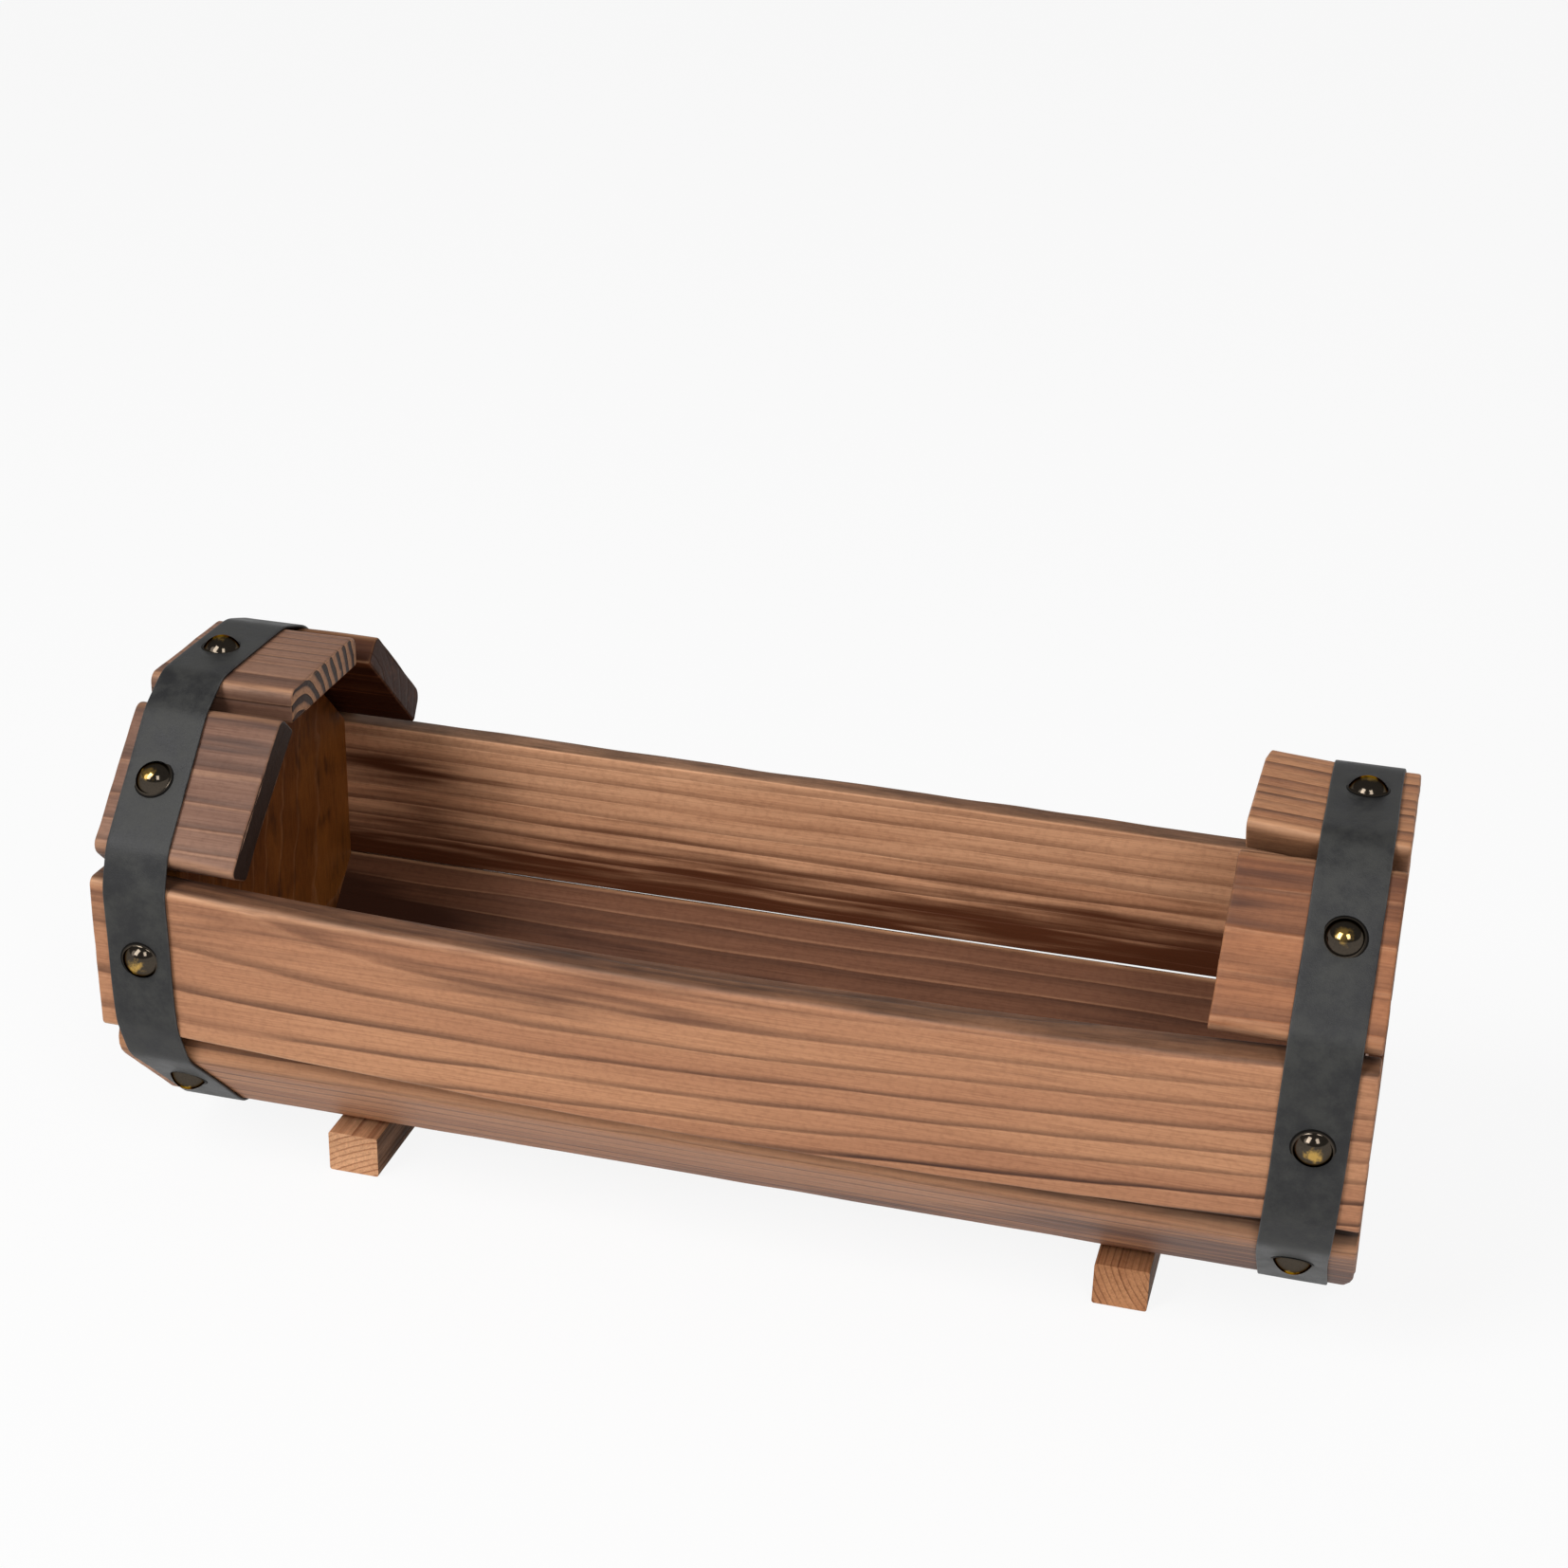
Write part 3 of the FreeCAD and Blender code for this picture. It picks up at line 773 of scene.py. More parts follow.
def board_mesh(name, seed, start, end, rounds=(1, 1), skew=(0, 0), nose=0.0, toe=0.0, inner=(0, 0),
               inner_round=INNER_ROUND, lift=0.0, curl=0.0, **edges):
    """A board between two places along the barrel.

    minus and plus widen its outer face at its two long edges, in millimetres at its left and right
    ends, and inner its inner face at the plus edge, which inner_round rounds. crook bends it towards
    its plus edge in the middle, rounds scales the rounding of its outer minus and plus edges, skew
    slants its two ends, nose rounds off its left end at the minus edge and toe its right end at the
    plus edge, lift moves it outwards and curl moves only its left end outwards.
    """
    length = end - start
    rings, marks = [], []
    for along, drawn in stations(length):
        share = along / length
        minus, plus, bend = outer_edges(share, start + along, **edges)
        minus += wave(along / EDGE_RUN, seed, EDGE_WAVE) + drawn
        plus += wave(along / EDGE_RUN, seed + 9, EDGE_WAVE) - drawn
        raised = (lift + curl * max(0.0, 1 - share / CURL_SHARE)) * MM
        out = BARREL_OUTER - FACE_WAVE + wave(along / FACE_RUN, seed + 5, FACE_WAVE) - drawn + raised
        within = BARREL_INNER + drawn + raised
        inner_plus = HALF_WIDTH + between(inner, share) * MM - drawn
        tips = [
            Vector((plus, out)),
            Vector((inner_plus, within)),
            Vector((-HALF_WIDTH + bend + drawn, within)),
            Vector((minus, out)),
        ]
        soft = [
            EDGE_ROUND * size * (1 + wave(along / ROUND_RUN, seed + shift, ROUND_WAVE)) - drawn
            for size, shift in zip(rounds, (2, 4))
        ]
        soft = [max(LEAST_ROUND, size) for size in soft]
        outline = board_section(tips, [soft[1], inner_round * MM, INNER_ROUND * MM, soft[0]])
        slant = between(skew, share)
        ring = []
        for (across, far), mark in outline:
            wander = [wave(across / RAGGED_RUN, seed + shift, RAGGED) for shift in (7, 8)]
            cut = nose * MM * (1 - share) * max(0.0, -2 * across / HALF_WIDTH - 1) ** 2
            cut -= toe * MM * share * max(0.0, 2 * across / HALF_WIDTH - 1) ** 2
            shift = slant * across + between(wander, share) + cut
            ring.append(Vector((start + along + shift, across, -far)))
            marks.append(max(mark, drawn / END_ROUND))
        rings.append(ring)
    return loft(name, rings, marks)


def add_piece(name, mesh, material, node, place=None):
    """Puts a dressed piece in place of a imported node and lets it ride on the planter."""
    piece = add_object(name, mesh)
    mesh.materials.append(material)
    if place:
        piece.matrix_world = place
    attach(piece, "root")
    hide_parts(node)


print("board tools ready")

# %% [markdown]
# Now the boards themselves. Each line of the table gives one board's shape and its log. The front
# board is crooked: its middle hangs lower than its ends, so its lower edge closes the notch there.
# The short boards over the right end are wider than those over the left one, the top one curls up at
# its free end, and the lower front board has lost its right corner.
# The logs differ too: the front board is cut near the pith on its upper half, which leaves a plain
# band above and lines below, and the short board on top of the right end has narrow even rings.

# %% Boards
LEFT, RIGHT = RAGGED - HALF_LENGTH, HALF_LENGTH - RAGGED
LEFT_INNER, RIGHT_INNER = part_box("stave_top_left")[1].x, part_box("stave_top_right")[0].x

BOARDS = {
    "stave_bottom": {"shape": {}, "log": {"pith": (5, 25)}},
    "stave_back_lower": {
        "shape": {"inner": (2.7, 1.75), "inner_round": 3.0},
        "log": {
            # Painted shade: the patch and the burn that grows to the left darken the left end of this
            # board, where the short boards over that end cast shade.
            "pith": (-40, 50), "ring": 6.0, "late": 0.5, "line": (0.5, 0), "burn": (0.48, -0.016, -0.001),
            "patch": (-175, -3, 180, 70, 0.9), "wear": (1, 0), "gloss": 0.1, "tones": UMBER,
        },
    },
    "stave_back": {
        "shape": {"plus": (0, -3), "inner": (0, -3)},
        "log": {
            # Partly scorch, partly painted shade: the burn that grows downwards darkens the lower half, and
            # the patch darkens the upper left, where the short boards over the left end cast shade.
            "pith": (75, 25), "ring": 5.8, "wander": 3.0, "late": 0.6, "line": (0.75, -0.015),
            "burn": (0.51, -0.027, 0.0003), "patch": (-158, 16, 150, 40, 0.5), "flank": (0.85, 0),
            "wear": (0.3, 0), "gloss": 0.15, "tones": LIGHT,
        },
    },
    "stave_front": {
        "shape": {"crook": 4.8, "minus": (0.2, -0.5), "plus": (0.6, 1.6), "rounds": (0.85, 0.5)},
        "log": {
            "pith": (-50, 40), "lean": (-0.12, -0.12), "ring": 6.6, "wander": 4.0, "late": 0.36,
            "line": (0.7, 0.016), "burn": (0.24, -0.014, -0.0004), "patch": (-28, -8, 190, 17, 0.4),
            "flank": (0.8, 0), "wear": (0.25, -0.004), "tones": HONEY,
        },
    },
    "stave_front_lower": {
        "shape": {
            "start": LEFT + 1.6 * MM, "plus": (2, 1.5), "rounds": (2.1, 1.2), "lift": 1.2, "toe": 3.0,
        },
        "log": {
            # Painted shade: the burn and the flanks' black grow towards the right end, and the burn towards
            # the lower edge, where this board lies in shade under the front board.
            "pith": (-60, 42), "ring": 6.0, "wander": 4.0, "line": (0.7, 0), "burn": (0.4, 0.008, 0.0018),
            "flank": (0.15, 0.005), "wear": (0.45, 0),
        },
    },
    "stave_back_upper_left": {
        "shape": {"end": LEFT_INNER + 3 * MM, "minus": (-2, -2), "lift": 2.0},
        # Partly scorch, partly painted shade: the heavy burn darkens this board's inner face, which lies in
        # shade inside the covered left end.
        "log": {"pith": (20, 28), "burn": (0.95, 0, 0), "end": (0.15, 0.5), "gloss": 0.1, "tones": DEEP},
    },
    "stave_top_left": {
        "shape": {"skew": (0, 0.01), "lift": 1.1},
        "log": {
            "pith": (20, 15), "ring": 4.4, "wander": 2.0, "line": (0.6, 0), "burn": (0.42, 0, 0),
            "end": (0, 0), "fresh": 1.0, "tones": SMOKED,
        },
    },
    "stave_front_upper_left": {
        "shape": {"plus": (0, 3), "skew": (0, -0.03)},
        "log": {
            "pith": (-15, 32), "ring": 5.0, "line": (0.5, 0), "burn": (0.36, -0.008, 0),
            "patch": (-158, -13, 60, 9, 0.28), "end": (0.3, 1.6), "wear": (0.4, 0), "tones": SMOKED,
        },
    },
    "stave_back_upper_right": {
        "shape": {"start": RIGHT_INNER + 5 * MM},
        "log": {"pith": (-15, 30), "burn": (0.4, 0, 0)},
    },
    "stave_top_right": {
        "shape": {
            "start": RIGHT_INNER + 2.1 * MM, "plus": (4.5, 4), "skew": (-0.01, 0), "nose": 1.6,
            "rounds": (1, 1.1), "lift": 1.0, "curl": 1.8,
        },
        "log": {
            "pith": (90, 14), "ring": 5.3, "wander": 1.5, "late": 0.75, "line": (0.8, 0),
            "burn": (0.25, 0, 0), "flank": (0.6, 0), "wear": (0.9, 0),
        },
    },
    "stave_front_upper_right": {
        "shape": {
            "start": RIGHT_INNER + 0.3 * MM, "plus": (4.5, 4.5), "skew": (-0.024, 0), "rounds": (1, 1.5),
        },
        "log": {
            "pith": (-52, 0), "ring": 13.0, "wander": 7.0, "late": 0.6, "line": (0.6, 0),
            "burn": (0.58, -0.007, 0), "flank": (0.7, 0), "tones": DEEP,
        },
    },
}
BOARD_ENDS = {"left": (LEFT, LEFT_INNER), "right": (RIGHT_INNER, RIGHT)}


def board_turn(node):
    """How many eighths round the barrel a board lies."""
    words = node.removeprefix("stave_").removesuffix("_left").removesuffix("_right")
    return ROUND_THE_BARREL.index(words)


for seed, (node, board) in enumerate(BOARDS.items(), start=1):
    start, end = BOARD_ENDS.get(node.rsplit("_", 1)[-1], (LEFT, RIGHT))
    board["shape"] = {"start": start, "end": end, **board["shape"]}
    mesh = board_mesh(f"{node}_board", seed, **board["shape"])
    wood = board_material(f"{node}_wood", seed, **board["log"])
    add_piece(f"{node}_board", mesh, wood, node, turned_place(board_turn(node)))
    print(f"{node}: {len(mesh.vertices)} points")

# %% [markdown]
# The end panels are eight-sided boards inside the barrel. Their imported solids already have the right
# shape and only their faces show, so they keep their meshes and get a wood of their own: the same
# burnt board, but darker, golden and blotchy, with its grain standing upright.

# %% End panels
PANEL_TONES = wood_tones((154, 94, 36), (122, 68, 22), (84, 42, 14), (72, 36, 12))
PANEL_BLOTCH = 6.0
PANEL_GLOSS = 0.3
PANEL_RELIEF = 0.25


def upright_place(tree, side):
    """A point of an end panel in millimetres, with its first axis up along the grain.

    Heights count several times over, which shortens the long streaks of the boards to blotches.
    """
    turned = rearranged(own_spot(tree), "ZYX")
    shifted = calc_vector("ADD", turned, (0, 0, -side * HOOP_CENTRE))
    return calc_vector("MULTIPLY", in_millimetres(shifted), (PANEL_BLOTCH, 1, 1))


def panel_material(name, seed, side):
    """Blotchy burnt wood of an end panel."""
    material, tree, shader = new_material(name)
    wood = use_group(
        burnt_board, Place=upright_place(tree, side), Pith=(0, 30, -40), Lean=(0, 0.05, 0.02),
        Ring_Width=9.0, Wander=12.0, Seed=wood_seed(seed), Edge=0.0, End=0.0,
        **PANEL_TONES, Line_Depth=0.1, Late_Share=0.4, Burn=0.5, Black=0.0, Fresh=0.0, Wear=0.0,
    )
    dress(shader, wood, PANEL_GLOSS, PANEL_RELIEF)
    return material


for seed, (end, side) in enumerate(SIDES.items(), start=21):
    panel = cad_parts[f"end_panel_{end}"]
    panel.material_slots[0].material = panel_material(f"end_panel_{end}_wood", seed, side)
    print(panel.name, "wears", panel.material_slots[0].material.name)

# %% [markdown]
# A strap of dark rubber is drawn round each end. It lies flat on each board, bends at the rounded
# edges and bridges the notches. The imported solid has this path, but with sharp rims and no sign of
# the tacks. Here the strap's section, with its rounded rims, is swept round the same path, its rims
# wander a little, and it is pressed in round each tack.

# %% Straps
STRAP_LIFT = 1.2 * MM
STRAP_THICKNESS = 1.1 * MM
STRAP_RIM = 0.4 * MM
STRAP_RIPPLE = 0.1 * MM
STRAP_SWAY = 0.35 * MM
# Waves of the ripple and of the sway in each metre
RIPPLE_FINENESS = 60
SWAY_FINENESS = 25
BLACK_RUBBER = tint(34, 34, 35)
GREY_RUBBER = tint(54, 54, 52)
RUBBED_RUBBER = tint(90, 90, 90)
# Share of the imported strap's width that leaves room for its swaying rims
STRAP_TRIM = 0.985
DIMPLE_RADIUS = 8.6 * MM
DIMPLE_DEPTH = 0.7 * MM
# How far each strap has slipped along the barrel at each board, in millimetres
STRAP_SLIP = {"left": [2, 1, 0, -1, -1.5, -0.4, 0.5, 2.5], "right": [-2.5, -1, 0, 0, 0, 0, -1.2, -3]}
# How far some tacks stand from the middle of strap and board, along and across it, in millimetres
TACK_SHIFT = {
    "left": {"top": (-1.0, 0.0), "front_upper": (-0.6, 0.0)},
    "right": {
        "top": (0.3, -4.4), "front_upper": (0.6, -2.0), "front": (1.2, 1.0), "front_lower": (0.0, -4.0),
    },
}
FLAT_STEP = 1.0 * MM
BEND_STEPS = 3
# How often the path is evened out, which rounds its bends
STIFFNESS = 14
ACROSS_STEPS = 18
RIM_STEPS = 4
STRAP_GLOSS = 0.3
STRAP_RELIEF = 0.25


def shape_under(turn, end):
    """The shape of the board that lies at some eighth round the barrel under the strap of one end."""
    node = f"stave_{ROUND_THE_BARREL[turn]}"
    return BOARDS[node if node in BOARDS else f"{node}_{end}"]["shape"]


def slip_at(across, upward, end):
    """How far a strap has slipped at a place round the barrel, given by its way out from the axis."""
    turn = (math.atan2(across, -upward) / EIGHTH) % len(ROUND_THE_BARREL)
    slips = STRAP_SLIP[end]
    share = (1 - math.cos(math.pi * (turn % 1))) / 2
    return between((slips[int(turn)], slips[(int(turn) + 1) % len(slips)]), share) * MM


def edge_centres(place, end):
    """Centres of the boards' rounded outer edges, in turn round the barrel, where the strap lies."""
    centres = []
    for turn in range(len(ROUND_THE_BARREL)):
        shape = shape_under(turn, end)
        edges = {key: shape[key] for key in ("minus", "plus", "crook") if key in shape}
        share = (place - shape["start"]) / (shape["end"] - shape["start"])
        minus, plus, _ = outer_edges(share, place, **edges)
        far = BARREL_OUTER + shape.get("lift", 0.0) * MM - EDGE_ROUND
        for across in (minus + EDGE_ROUND, plus - EDGE_ROUND):
            spot = Matrix.Rotation(turn * EIGHTH, 3, "X") @ Vector((0, across, -far))
            centres.append(Vector((spot.y, spot.z)))
    return centres


def strap_path(place, end):
    """The strap's outer face round the barrel: points and the directions that they face."""
    centres = edge_centres(place, end)
    bend = STRAP_LIFT + EDGE_ROUND
    runs = [after - centre for centre, after in zip(centres, centres[1:] + centres[:1])]
    facings = [math.atan2(-run.x, run.y) for run in runs]
    spots = []
    for number, (centre, run) in enumerate(zip(centres, runs)):
        before, after = facings[number - 1], facings[number]
        turning = (after - before + math.pi) % (2 * math.pi) - math.pi
        for step in range(BEND_STEPS):
            facing = before + turning * step / BEND_STEPS
            spots.append(centre + bend * Vector((math.cos(facing), math.sin(facing))))
        outward = Vector((math.cos(after), math.sin(after)))
        steps = max(1, round(run.length / FLAT_STEP))
        spots += [centre + run * step / steps + bend * outward for step in range(steps)]
    for _ in range(STIFFNESS):
        spots = [
            (spots[number - 1] + 2 * spot + spots[(number + 1) % len(spots)]) / 4
            for number, spot in enumerate(spots)
        ]
    for number, spot in enumerate(spots):
        run = spots[(number + 1) % len(spots)] - spots[number - 1]
        yield spot, Vector((run.y, -run.x)).normalized()


def strap_section():
    """Section of the strap: place across its width, depth below its outer face, and an edge mark."""
    half, rim = HOOP_WIDTH / 2, STRAP_RIM
    for step in range(ACROSS_STEPS + 1):
        yield -half + rim + (HOOP_WIDTH - 2 * rim) * step / ACROSS_STEPS, 0.0, 0.0
    turns = [math.pi / 2 * step / RIM_STEPS for step in range(1, RIM_STEPS + 1)]
    roll = [
        (half - rim * (1 - math.sin(turn)), rim * (1 - math.cos(turn)), math.sin(2 * turn) * 0.5 + 0.5)
        for turn in turns
    ]
    yield from roll
    yield half - rim / 2, STRAP_THICKNESS, 0.0
    yield -half + rim / 2, STRAP_THICKNESS, 0.0
    for across, depth, mark in reversed(roll):
        yield -across, depth, mark


def tack_seat(turn, end, centre):
    """Where a tack stands on the strap, in the frame of its board."""
    far = BARREL_OUTER + shape_under(turn, end).get("lift", 0.0) * MM + STRAP_LIFT
    along, across = TACK_SHIFT[end].get(ROUND_THE_BARREL[turn], (0.0, 0.0))
    return Vector((centre + (STRAP_SLIP[end][turn] + along) * MM, across * MM, -far))


def strap_mesh(name, end, centre, seed):
    """A strap drawn round the barrel with its middle at a place along it."""
    tacks = [
        Matrix.Rotation(turn * EIGHTH, 3, "X") @ tack_seat(turn, end, centre)
        for turn in range(len(ROUND_THE_BARREL))
    ]
    rings, marks = [], []
    for spot, facing in strap_path(centre, end):
        outward = Vector((0, facing.x, facing.y))
        sway = STRAP_SWAY * noise.noise(Vector((seed, *(spot * SWAY_FINENESS))))
        middle = centre + sway + slip_at(spot.x, spot.y, end)
        ring = []
        for along, depth, mark in strap_section():
            skin = Vector((middle + along * STRAP_TRIM, spot.x, spot.y))
            far = min((skin - tack).length for tack in tacks)
            pressed = DIMPLE_DEPTH * (0.5 + 0.5 * math.cos(math.pi * min(1.0, far / DIMPLE_RADIUS)))
            ripple = STRAP_RIPPLE * (1 + noise.noise(skin * RIPPLE_FINENESS + Vector((seed, 0, 0))))
            sunk = depth if depth == STRAP_THICKNESS else depth + pressed + ripple
            ring.append(skin - outward * sunk + Vector((0, 0, AXIS_HEIGHT)))
            marks.append(mark)
        rings.append(ring)
    return loft(name, rings, marks, closed=True)


def make_strap_skin():
    tree, given, result = new_group(
        "strap_skin",
        ["Place", "Edge", "Seed"],
        LOOK,
    )
    dust = given_cloud(given, (0.09, 0.09, 0.09), detail=6.0, roughness=0.7)
    pores = given_cloud(given, (2.2, 2.2, 2.2), detail=3.0, roughness=0.7)
    dusty = step_between(dust, 0.36, 0.66)
    skin = mix_colours(dusty, BLACK_RUBBER, GREY_RUBBER)
    worn = times(given["Edge"], step_between(dust, 0.3, 0.6))
    feed(result["Color"], mix_colours(times(worn, 0.4), skin, RUBBED_RUBBER))
    feed(result["Roughness"], times_plus(dusty, 0.12, 0.44))
    feed(result["Height"], times_plus(dust, 0.7, times(pores, 0.3)))
    return tree


strap_skin = make_strap_skin()


def strap_material(name, seed):
    """Dusty dark rubber."""
    material, tree, shader = new_material(name)
    place = in_millimetres(own_spot(tree))
    start = (seed, seed * 2.7, seed * 4.1)
    skin = use_group(strap_skin, Place=place, Edge=carried(tree, "edge"), Seed=start)
    dress(shader, skin, STRAP_GLOSS, STRAP_RELIEF)
    return material


for seed, (end, side) in enumerate(SIDES.items(), start=31):
    mesh = strap_mesh(f"hoop_{end}_strap", end, side * HOOP_CENTRE, seed)
    add_piece(f"hoop_{end}_strap", mesh, strap_material(f"hoop_{end}_rubber", seed), f"hoop_{end}")
    print(f"hoop_{end}: {len(mesh.vertices)} points")

# %% [markdown]
# A tack has a domed head of dark bronze with a thin flange. A sphere cut in half would be too tall,
# so its profile is drawn: a short stub, the underside, the flange and a flat arc up to the crown. It
# is turned round its axis, once for each board, and each tack sits a little off and a little askew.
# The flange is darkened nearly to black as painted shade, for the dark ring of shadow round each dome,
# and the crown has lost its dark skin, its bare brass partly a painted highlight. So the mesh carries a
# mark that is 0 on the flange and rises from the foot of the dome to its top.

# %% Tacks
TACK_SEGMENTS = 40
DOME_STEPS = 12
FLANGE = 0.9 * MM
FLANGE_HEIGHT = 0.45 * MM
FLANGE_ROUND = 0.3 * MM
FLANGE_PLAY = 0.05 * MM
STUB_RADIUS = 1.1 * MM
STUB_LENGTH = 3.0 * MM
TACK_SUNK = 0.65 * MM
# How far a tack may sit off, in millimetres, and askew, in degrees
TACK_OFF = 0.5
TACK_ASKEW = 3
TACK_GLOSS = 0.15
TACK_SHEEN = tint(120, 112, 100)
DARK_BRONZE = tint(62, 56, 50)
DULL_BRONZE = tint(80, 72, 62)
# Bare brass of the rubbed crowns, partly a painted highlight
RUBBED_BRONZE_GLINT = tint(186, 150, 82)
# Painted shade: the near black of the flange, for the ring of shadow round each dome
FLANGE_SHADE = tint(20, 19, 18)
# The mark at the foot of the dome
DOME_FOOT = 0.25


def tack_profile():
    """From the stub's tip out to the flange and up to the crown: radius, height and crown mark."""
    yield STUB_RADIUS * 0.2, -STUB_LENGTH, 0.0
    yield STUB_RADIUS, -STUB_LENGTH * 0.7, 0.0
    yield STUB_RADIUS, 0.0, 0.0
    yield TACK_RADIUS - FLANGE_ROUND, 0.0, 0.0
    yield TACK_RADIUS - FLANGE_PLAY, FLANGE_HEIGHT * 0.3, 0.0
    yield TACK_RADIUS - FLANGE_PLAY, FLANGE_HEIGHT * 0.7, 0.0
    yield TACK_RADIUS - FLANGE_ROUND, FLANGE_HEIGHT, 0.0
    reach, rise = TACK_RADIUS - FLANGE, TACK_HEIGHT - FLANGE_HEIGHT
    dome = (reach ** 2 + rise ** 2) / (2 * rise)
    widest = math.asin(reach / dome)
    for step in range(DOME_STEPS):
        turn = widest * (1 - step / DOME_STEPS)
        height = TACK_HEIGHT - dome + dome * math.cos(turn)
        yield dome * math.sin(turn), height, DOME_FOOT + (1 - DOME_FOOT) * (1 - turn / widest)


def tacks_mesh(name, end, centre, seed):
    """All the tacks of one strap as one mesh of separate heads."""
    chance = random.Random(seed)
    points, faces, crowns = [], [], []
    profile = list(tack_profile())
    head = lathe([(radius, height) for radius, height, _ in profile], TACK_SEGMENTS)
    head.append(Vector((0, 0, TACK_HEIGHT)))
    for turn in range(len(ROUND_THE_BARREL)):
        tilt = Matrix.Rotation(math.radians(chance.uniform(-TACK_ASKEW, TACK_ASKEW)), 4, "X")
        tilt = tilt @ Matrix.Rotation(math.radians(chance.uniform(-TACK_ASKEW, TACK_ASKEW)), 4, "Y")
        off = Vector((*[chance.uniform(-TACK_OFF, TACK_OFF) * MM for _ in range(2)], 0))
        seat = tack_seat(turn, end, centre) + Vector((0, 0, TACK_SUNK)) + off
        down = Matrix.Rotation(math.pi, 4, "X")
        place = turned_place(turn) @ Matrix.Translation(seat) @ tilt @ down
        first = len(points)
        points += [place @ spot for spot in head]
        crowns += [crown for _, _, crown in profile for _ in range(TACK_SEGMENTS)] + [1.0]
        top = len(points) - 1
        last = top - TACK_SEGMENTS
        for low in range(first, last, TACK_SEGMENTS):
            faces += band(low, low + TACK_SEGMENTS, TACK_SEGMENTS)
        faces += [(last + here, last + (here + 1) % TACK_SEGMENTS, top) for here in range(TACK_SEGMENTS)]
        faces.append(tuple(first + here for here in reversed(range(TACK_SEGMENTS))))
    return mesh_of(name, points, faces, label="crown", marks=crowns)


def make_old_bronze():
    tree, given, result = new_group(
        "old_bronze",
        ["Place", "Crown", "Seed"],
        ["Color", "Roughness", "Metal"],
    )
    spots = given_cloud(given, (0.5, 0.5, 0.5), detail=4.0, roughness=0.6)
    fine = given_cloud(given, (1.8, 1.8, 1.8), detail=2.0)
    # Painted shade: the flange is made near black, rough and not metal, for the dark ring of shadow round
    # each dome.
    flange_shade = one_minus(step_between(given["Crown"], 0.05, 0.3))
    # Partly wear, partly painted highlight: bare bright brass on the crown, where a highlight shows
    worn = times_plus(spots, 0.7, given["Crown"])
    bright = step_between(worn, 1.05, 1.3)
    skin = mix_colours(fine, DARK_BRONZE, DULL_BRONZE)
    metal = mix_colours(bright, skin, RUBBED_BRONZE_GLINT)
    feed(result["Color"], mix_colours(flange_shade, metal, FLANGE_SHADE))
    smooth = times_plus(fine, 0.08, 0.06)
    feed(result["Roughness"], times_plus(flange_shade, 0.5, smooth))
    feed(result["Metal"], times_plus(flange_shade, -0.9, 1.0))
    return tree


old_bronze = make_old_bronze()


def tack_material(name, seed):
    """Dark bronze, rubbed bright on the crowns, partly as a painted highlight, with the flange darkened as
    painted shade.
    """
    material, tree, shader = new_material(name)
    place = in_millimetres(own_spot(tree))
    start = (seed, seed * 1.7, seed * 2.3)
    bronze = use_group(old_bronze, Place=place, Crown=carried(tree, "crown"), Seed=start)
    feed(shader["Base Color"], bronze["Color"])
    feed(shader["Roughness"], bronze["Roughness"])
    feed(shader["Metallic"], bronze["Metal"])
    shader["Specular IOR Level"].default_value = TACK_GLOSS
    shader["Specular Tint"].default_value = TACK_SHEEN
    return material


for seed, (end, side) in enumerate(SIDES.items(), start=41):
    node = f"hoop_tacks_{end}"
    mesh = tacks_mesh(f"{node}_heads", end, side * HOOP_CENTRE, seed)
    add_piece(f"{node}_heads", mesh, tack_material(f"{node}_bronze", seed), node)
    print(f"{node}: {len(mesh.vertices)} points")

# %% [markdown]
# The two battens under the barrel are sawn softwood, hardly burnt: pale pink ends with fine rings,
# the other faces browner, and the long sides darkened nearly to black, partly soot and partly painted
# shade. Their imported solids have the right shape, nail holes included, so they keep their meshes.
# Only the wood's frame is turned, because their grain runs from front to back.

# %% Battens and nails
BATTEN_BURN = 0.4
# How black the batten sides are: partly soot, partly painted shade
BATTEN_SIDE_SOOT_AND_SHADE = 0.95
BATTEN_GLOSS = 0.05
BATTEN_RELIEF = 0.3
PALE_FIR = wood_tones((236, 184, 142), (216, 164, 124), (150, 88, 56), (96, 62, 42))
RED_FIR = wood_tones((202, 146, 104), (174, 116, 80), (110, 62, 40), (104, 70, 44))


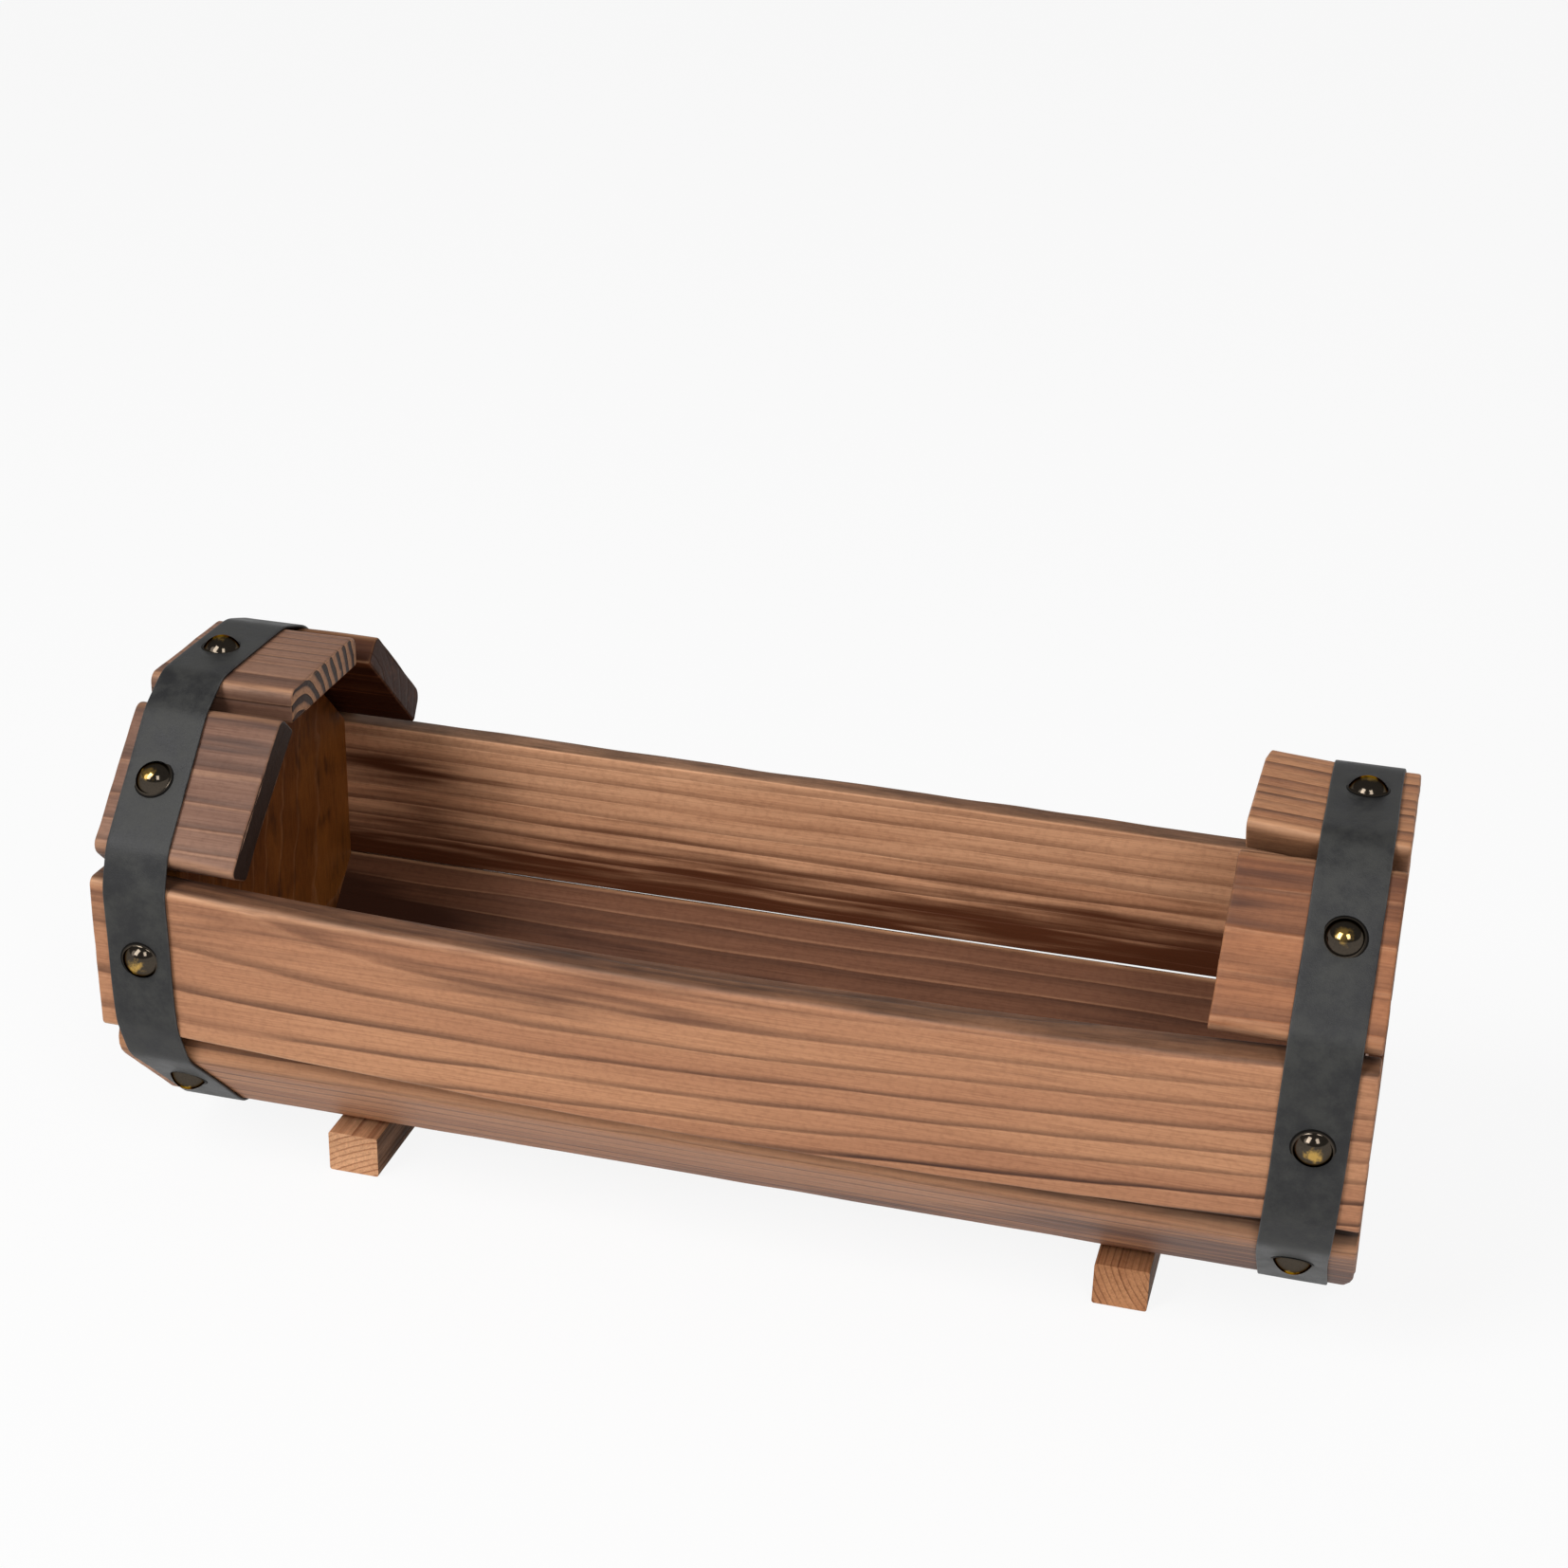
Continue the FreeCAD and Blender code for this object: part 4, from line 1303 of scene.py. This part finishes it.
def batten_places(tree, middle):
    """A point of a batten in millimetres, its first axis along the grain, and masks of ends and sides."""
    turned = rearranged(own_spot(tree), "YXZ")
    shifted = calc_vector("SUBTRACT", turned, (0, middle, 0))
    facing = split(own_spot(tree, "Normal"))
    end, side = [facing_mask(facing[letter], *END_FACING) for letter in "YX"]
    return in_millimetres(shifted), end, side


def batten_material(name, seed, middle, pith, tones):
    """Pale sawn wood of one batten, its long sides darkened nearly to black, partly as soot and partly as
    painted shade.
    """
    material, tree, shader = new_material(name)
    place, end, side = batten_places(tree, middle)
    burn = times_plus(end, -BATTEN_BURN, BATTEN_BURN)
    # Partly soot, partly painted shade: the long sides are darkened nearly to black, for the shade on faces
    # turned to the side.
    black = times(side, BATTEN_SIDE_SOOT_AND_SHADE)
    wood = use_group(
        burnt_board, Place=place, Pith=(0, *pith), Lean=(0, 0.02, 0.01), Ring_Width=1.9,
        Wander=1.2, Seed=wood_seed(seed), Edge=0.0, End=end,
        **tones, Line_Depth=0.75, Late_Share=0.42, Burn=burn, Black=black, Fresh=0.0, Wear=0.0,
    )
    dress(shader, wood, BATTEN_GLOSS, BATTEN_RELIEF)
    return material


nail_steel, nail_tree, nail_shader = new_material("nail_steel")
nail_place = in_millimetres(own_spot(nail_tree))
drawn_lines = cloud(nail_place, (3.0, 3.0, 0.2), (0.5, 0.1, 0.9), detail=3.0)
nail_tone = mix_colours(drawn_lines, tint(150, 150, 150), tint(190, 190, 188))
feed(nail_shader["Base Color"], nail_tone)
nail_shader["Metallic"].default_value = 1.0
feed(nail_shader["Roughness"], times_plus(drawn_lines, 0.3, 0.25))

BATTENS = {"left": ((28, -52), PALE_FIR), "right": ((46, 30), RED_FIR)}
for seed, (end, (pith, tones)) in enumerate(BATTENS.items(), start=51):
    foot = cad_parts[f"foot_{end}"]
    low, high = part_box(f"foot_{end}")
    middle = (low.x + high.x) / 2
    foot.material_slots[0].material = batten_material(f"foot_{end}_wood", seed, middle, pith, tones)
    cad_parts[f"foot_nails_{end}"].material_slots[0].material = nail_steel
    print(foot.name, "wears", foot.material_slots[0].material.name)
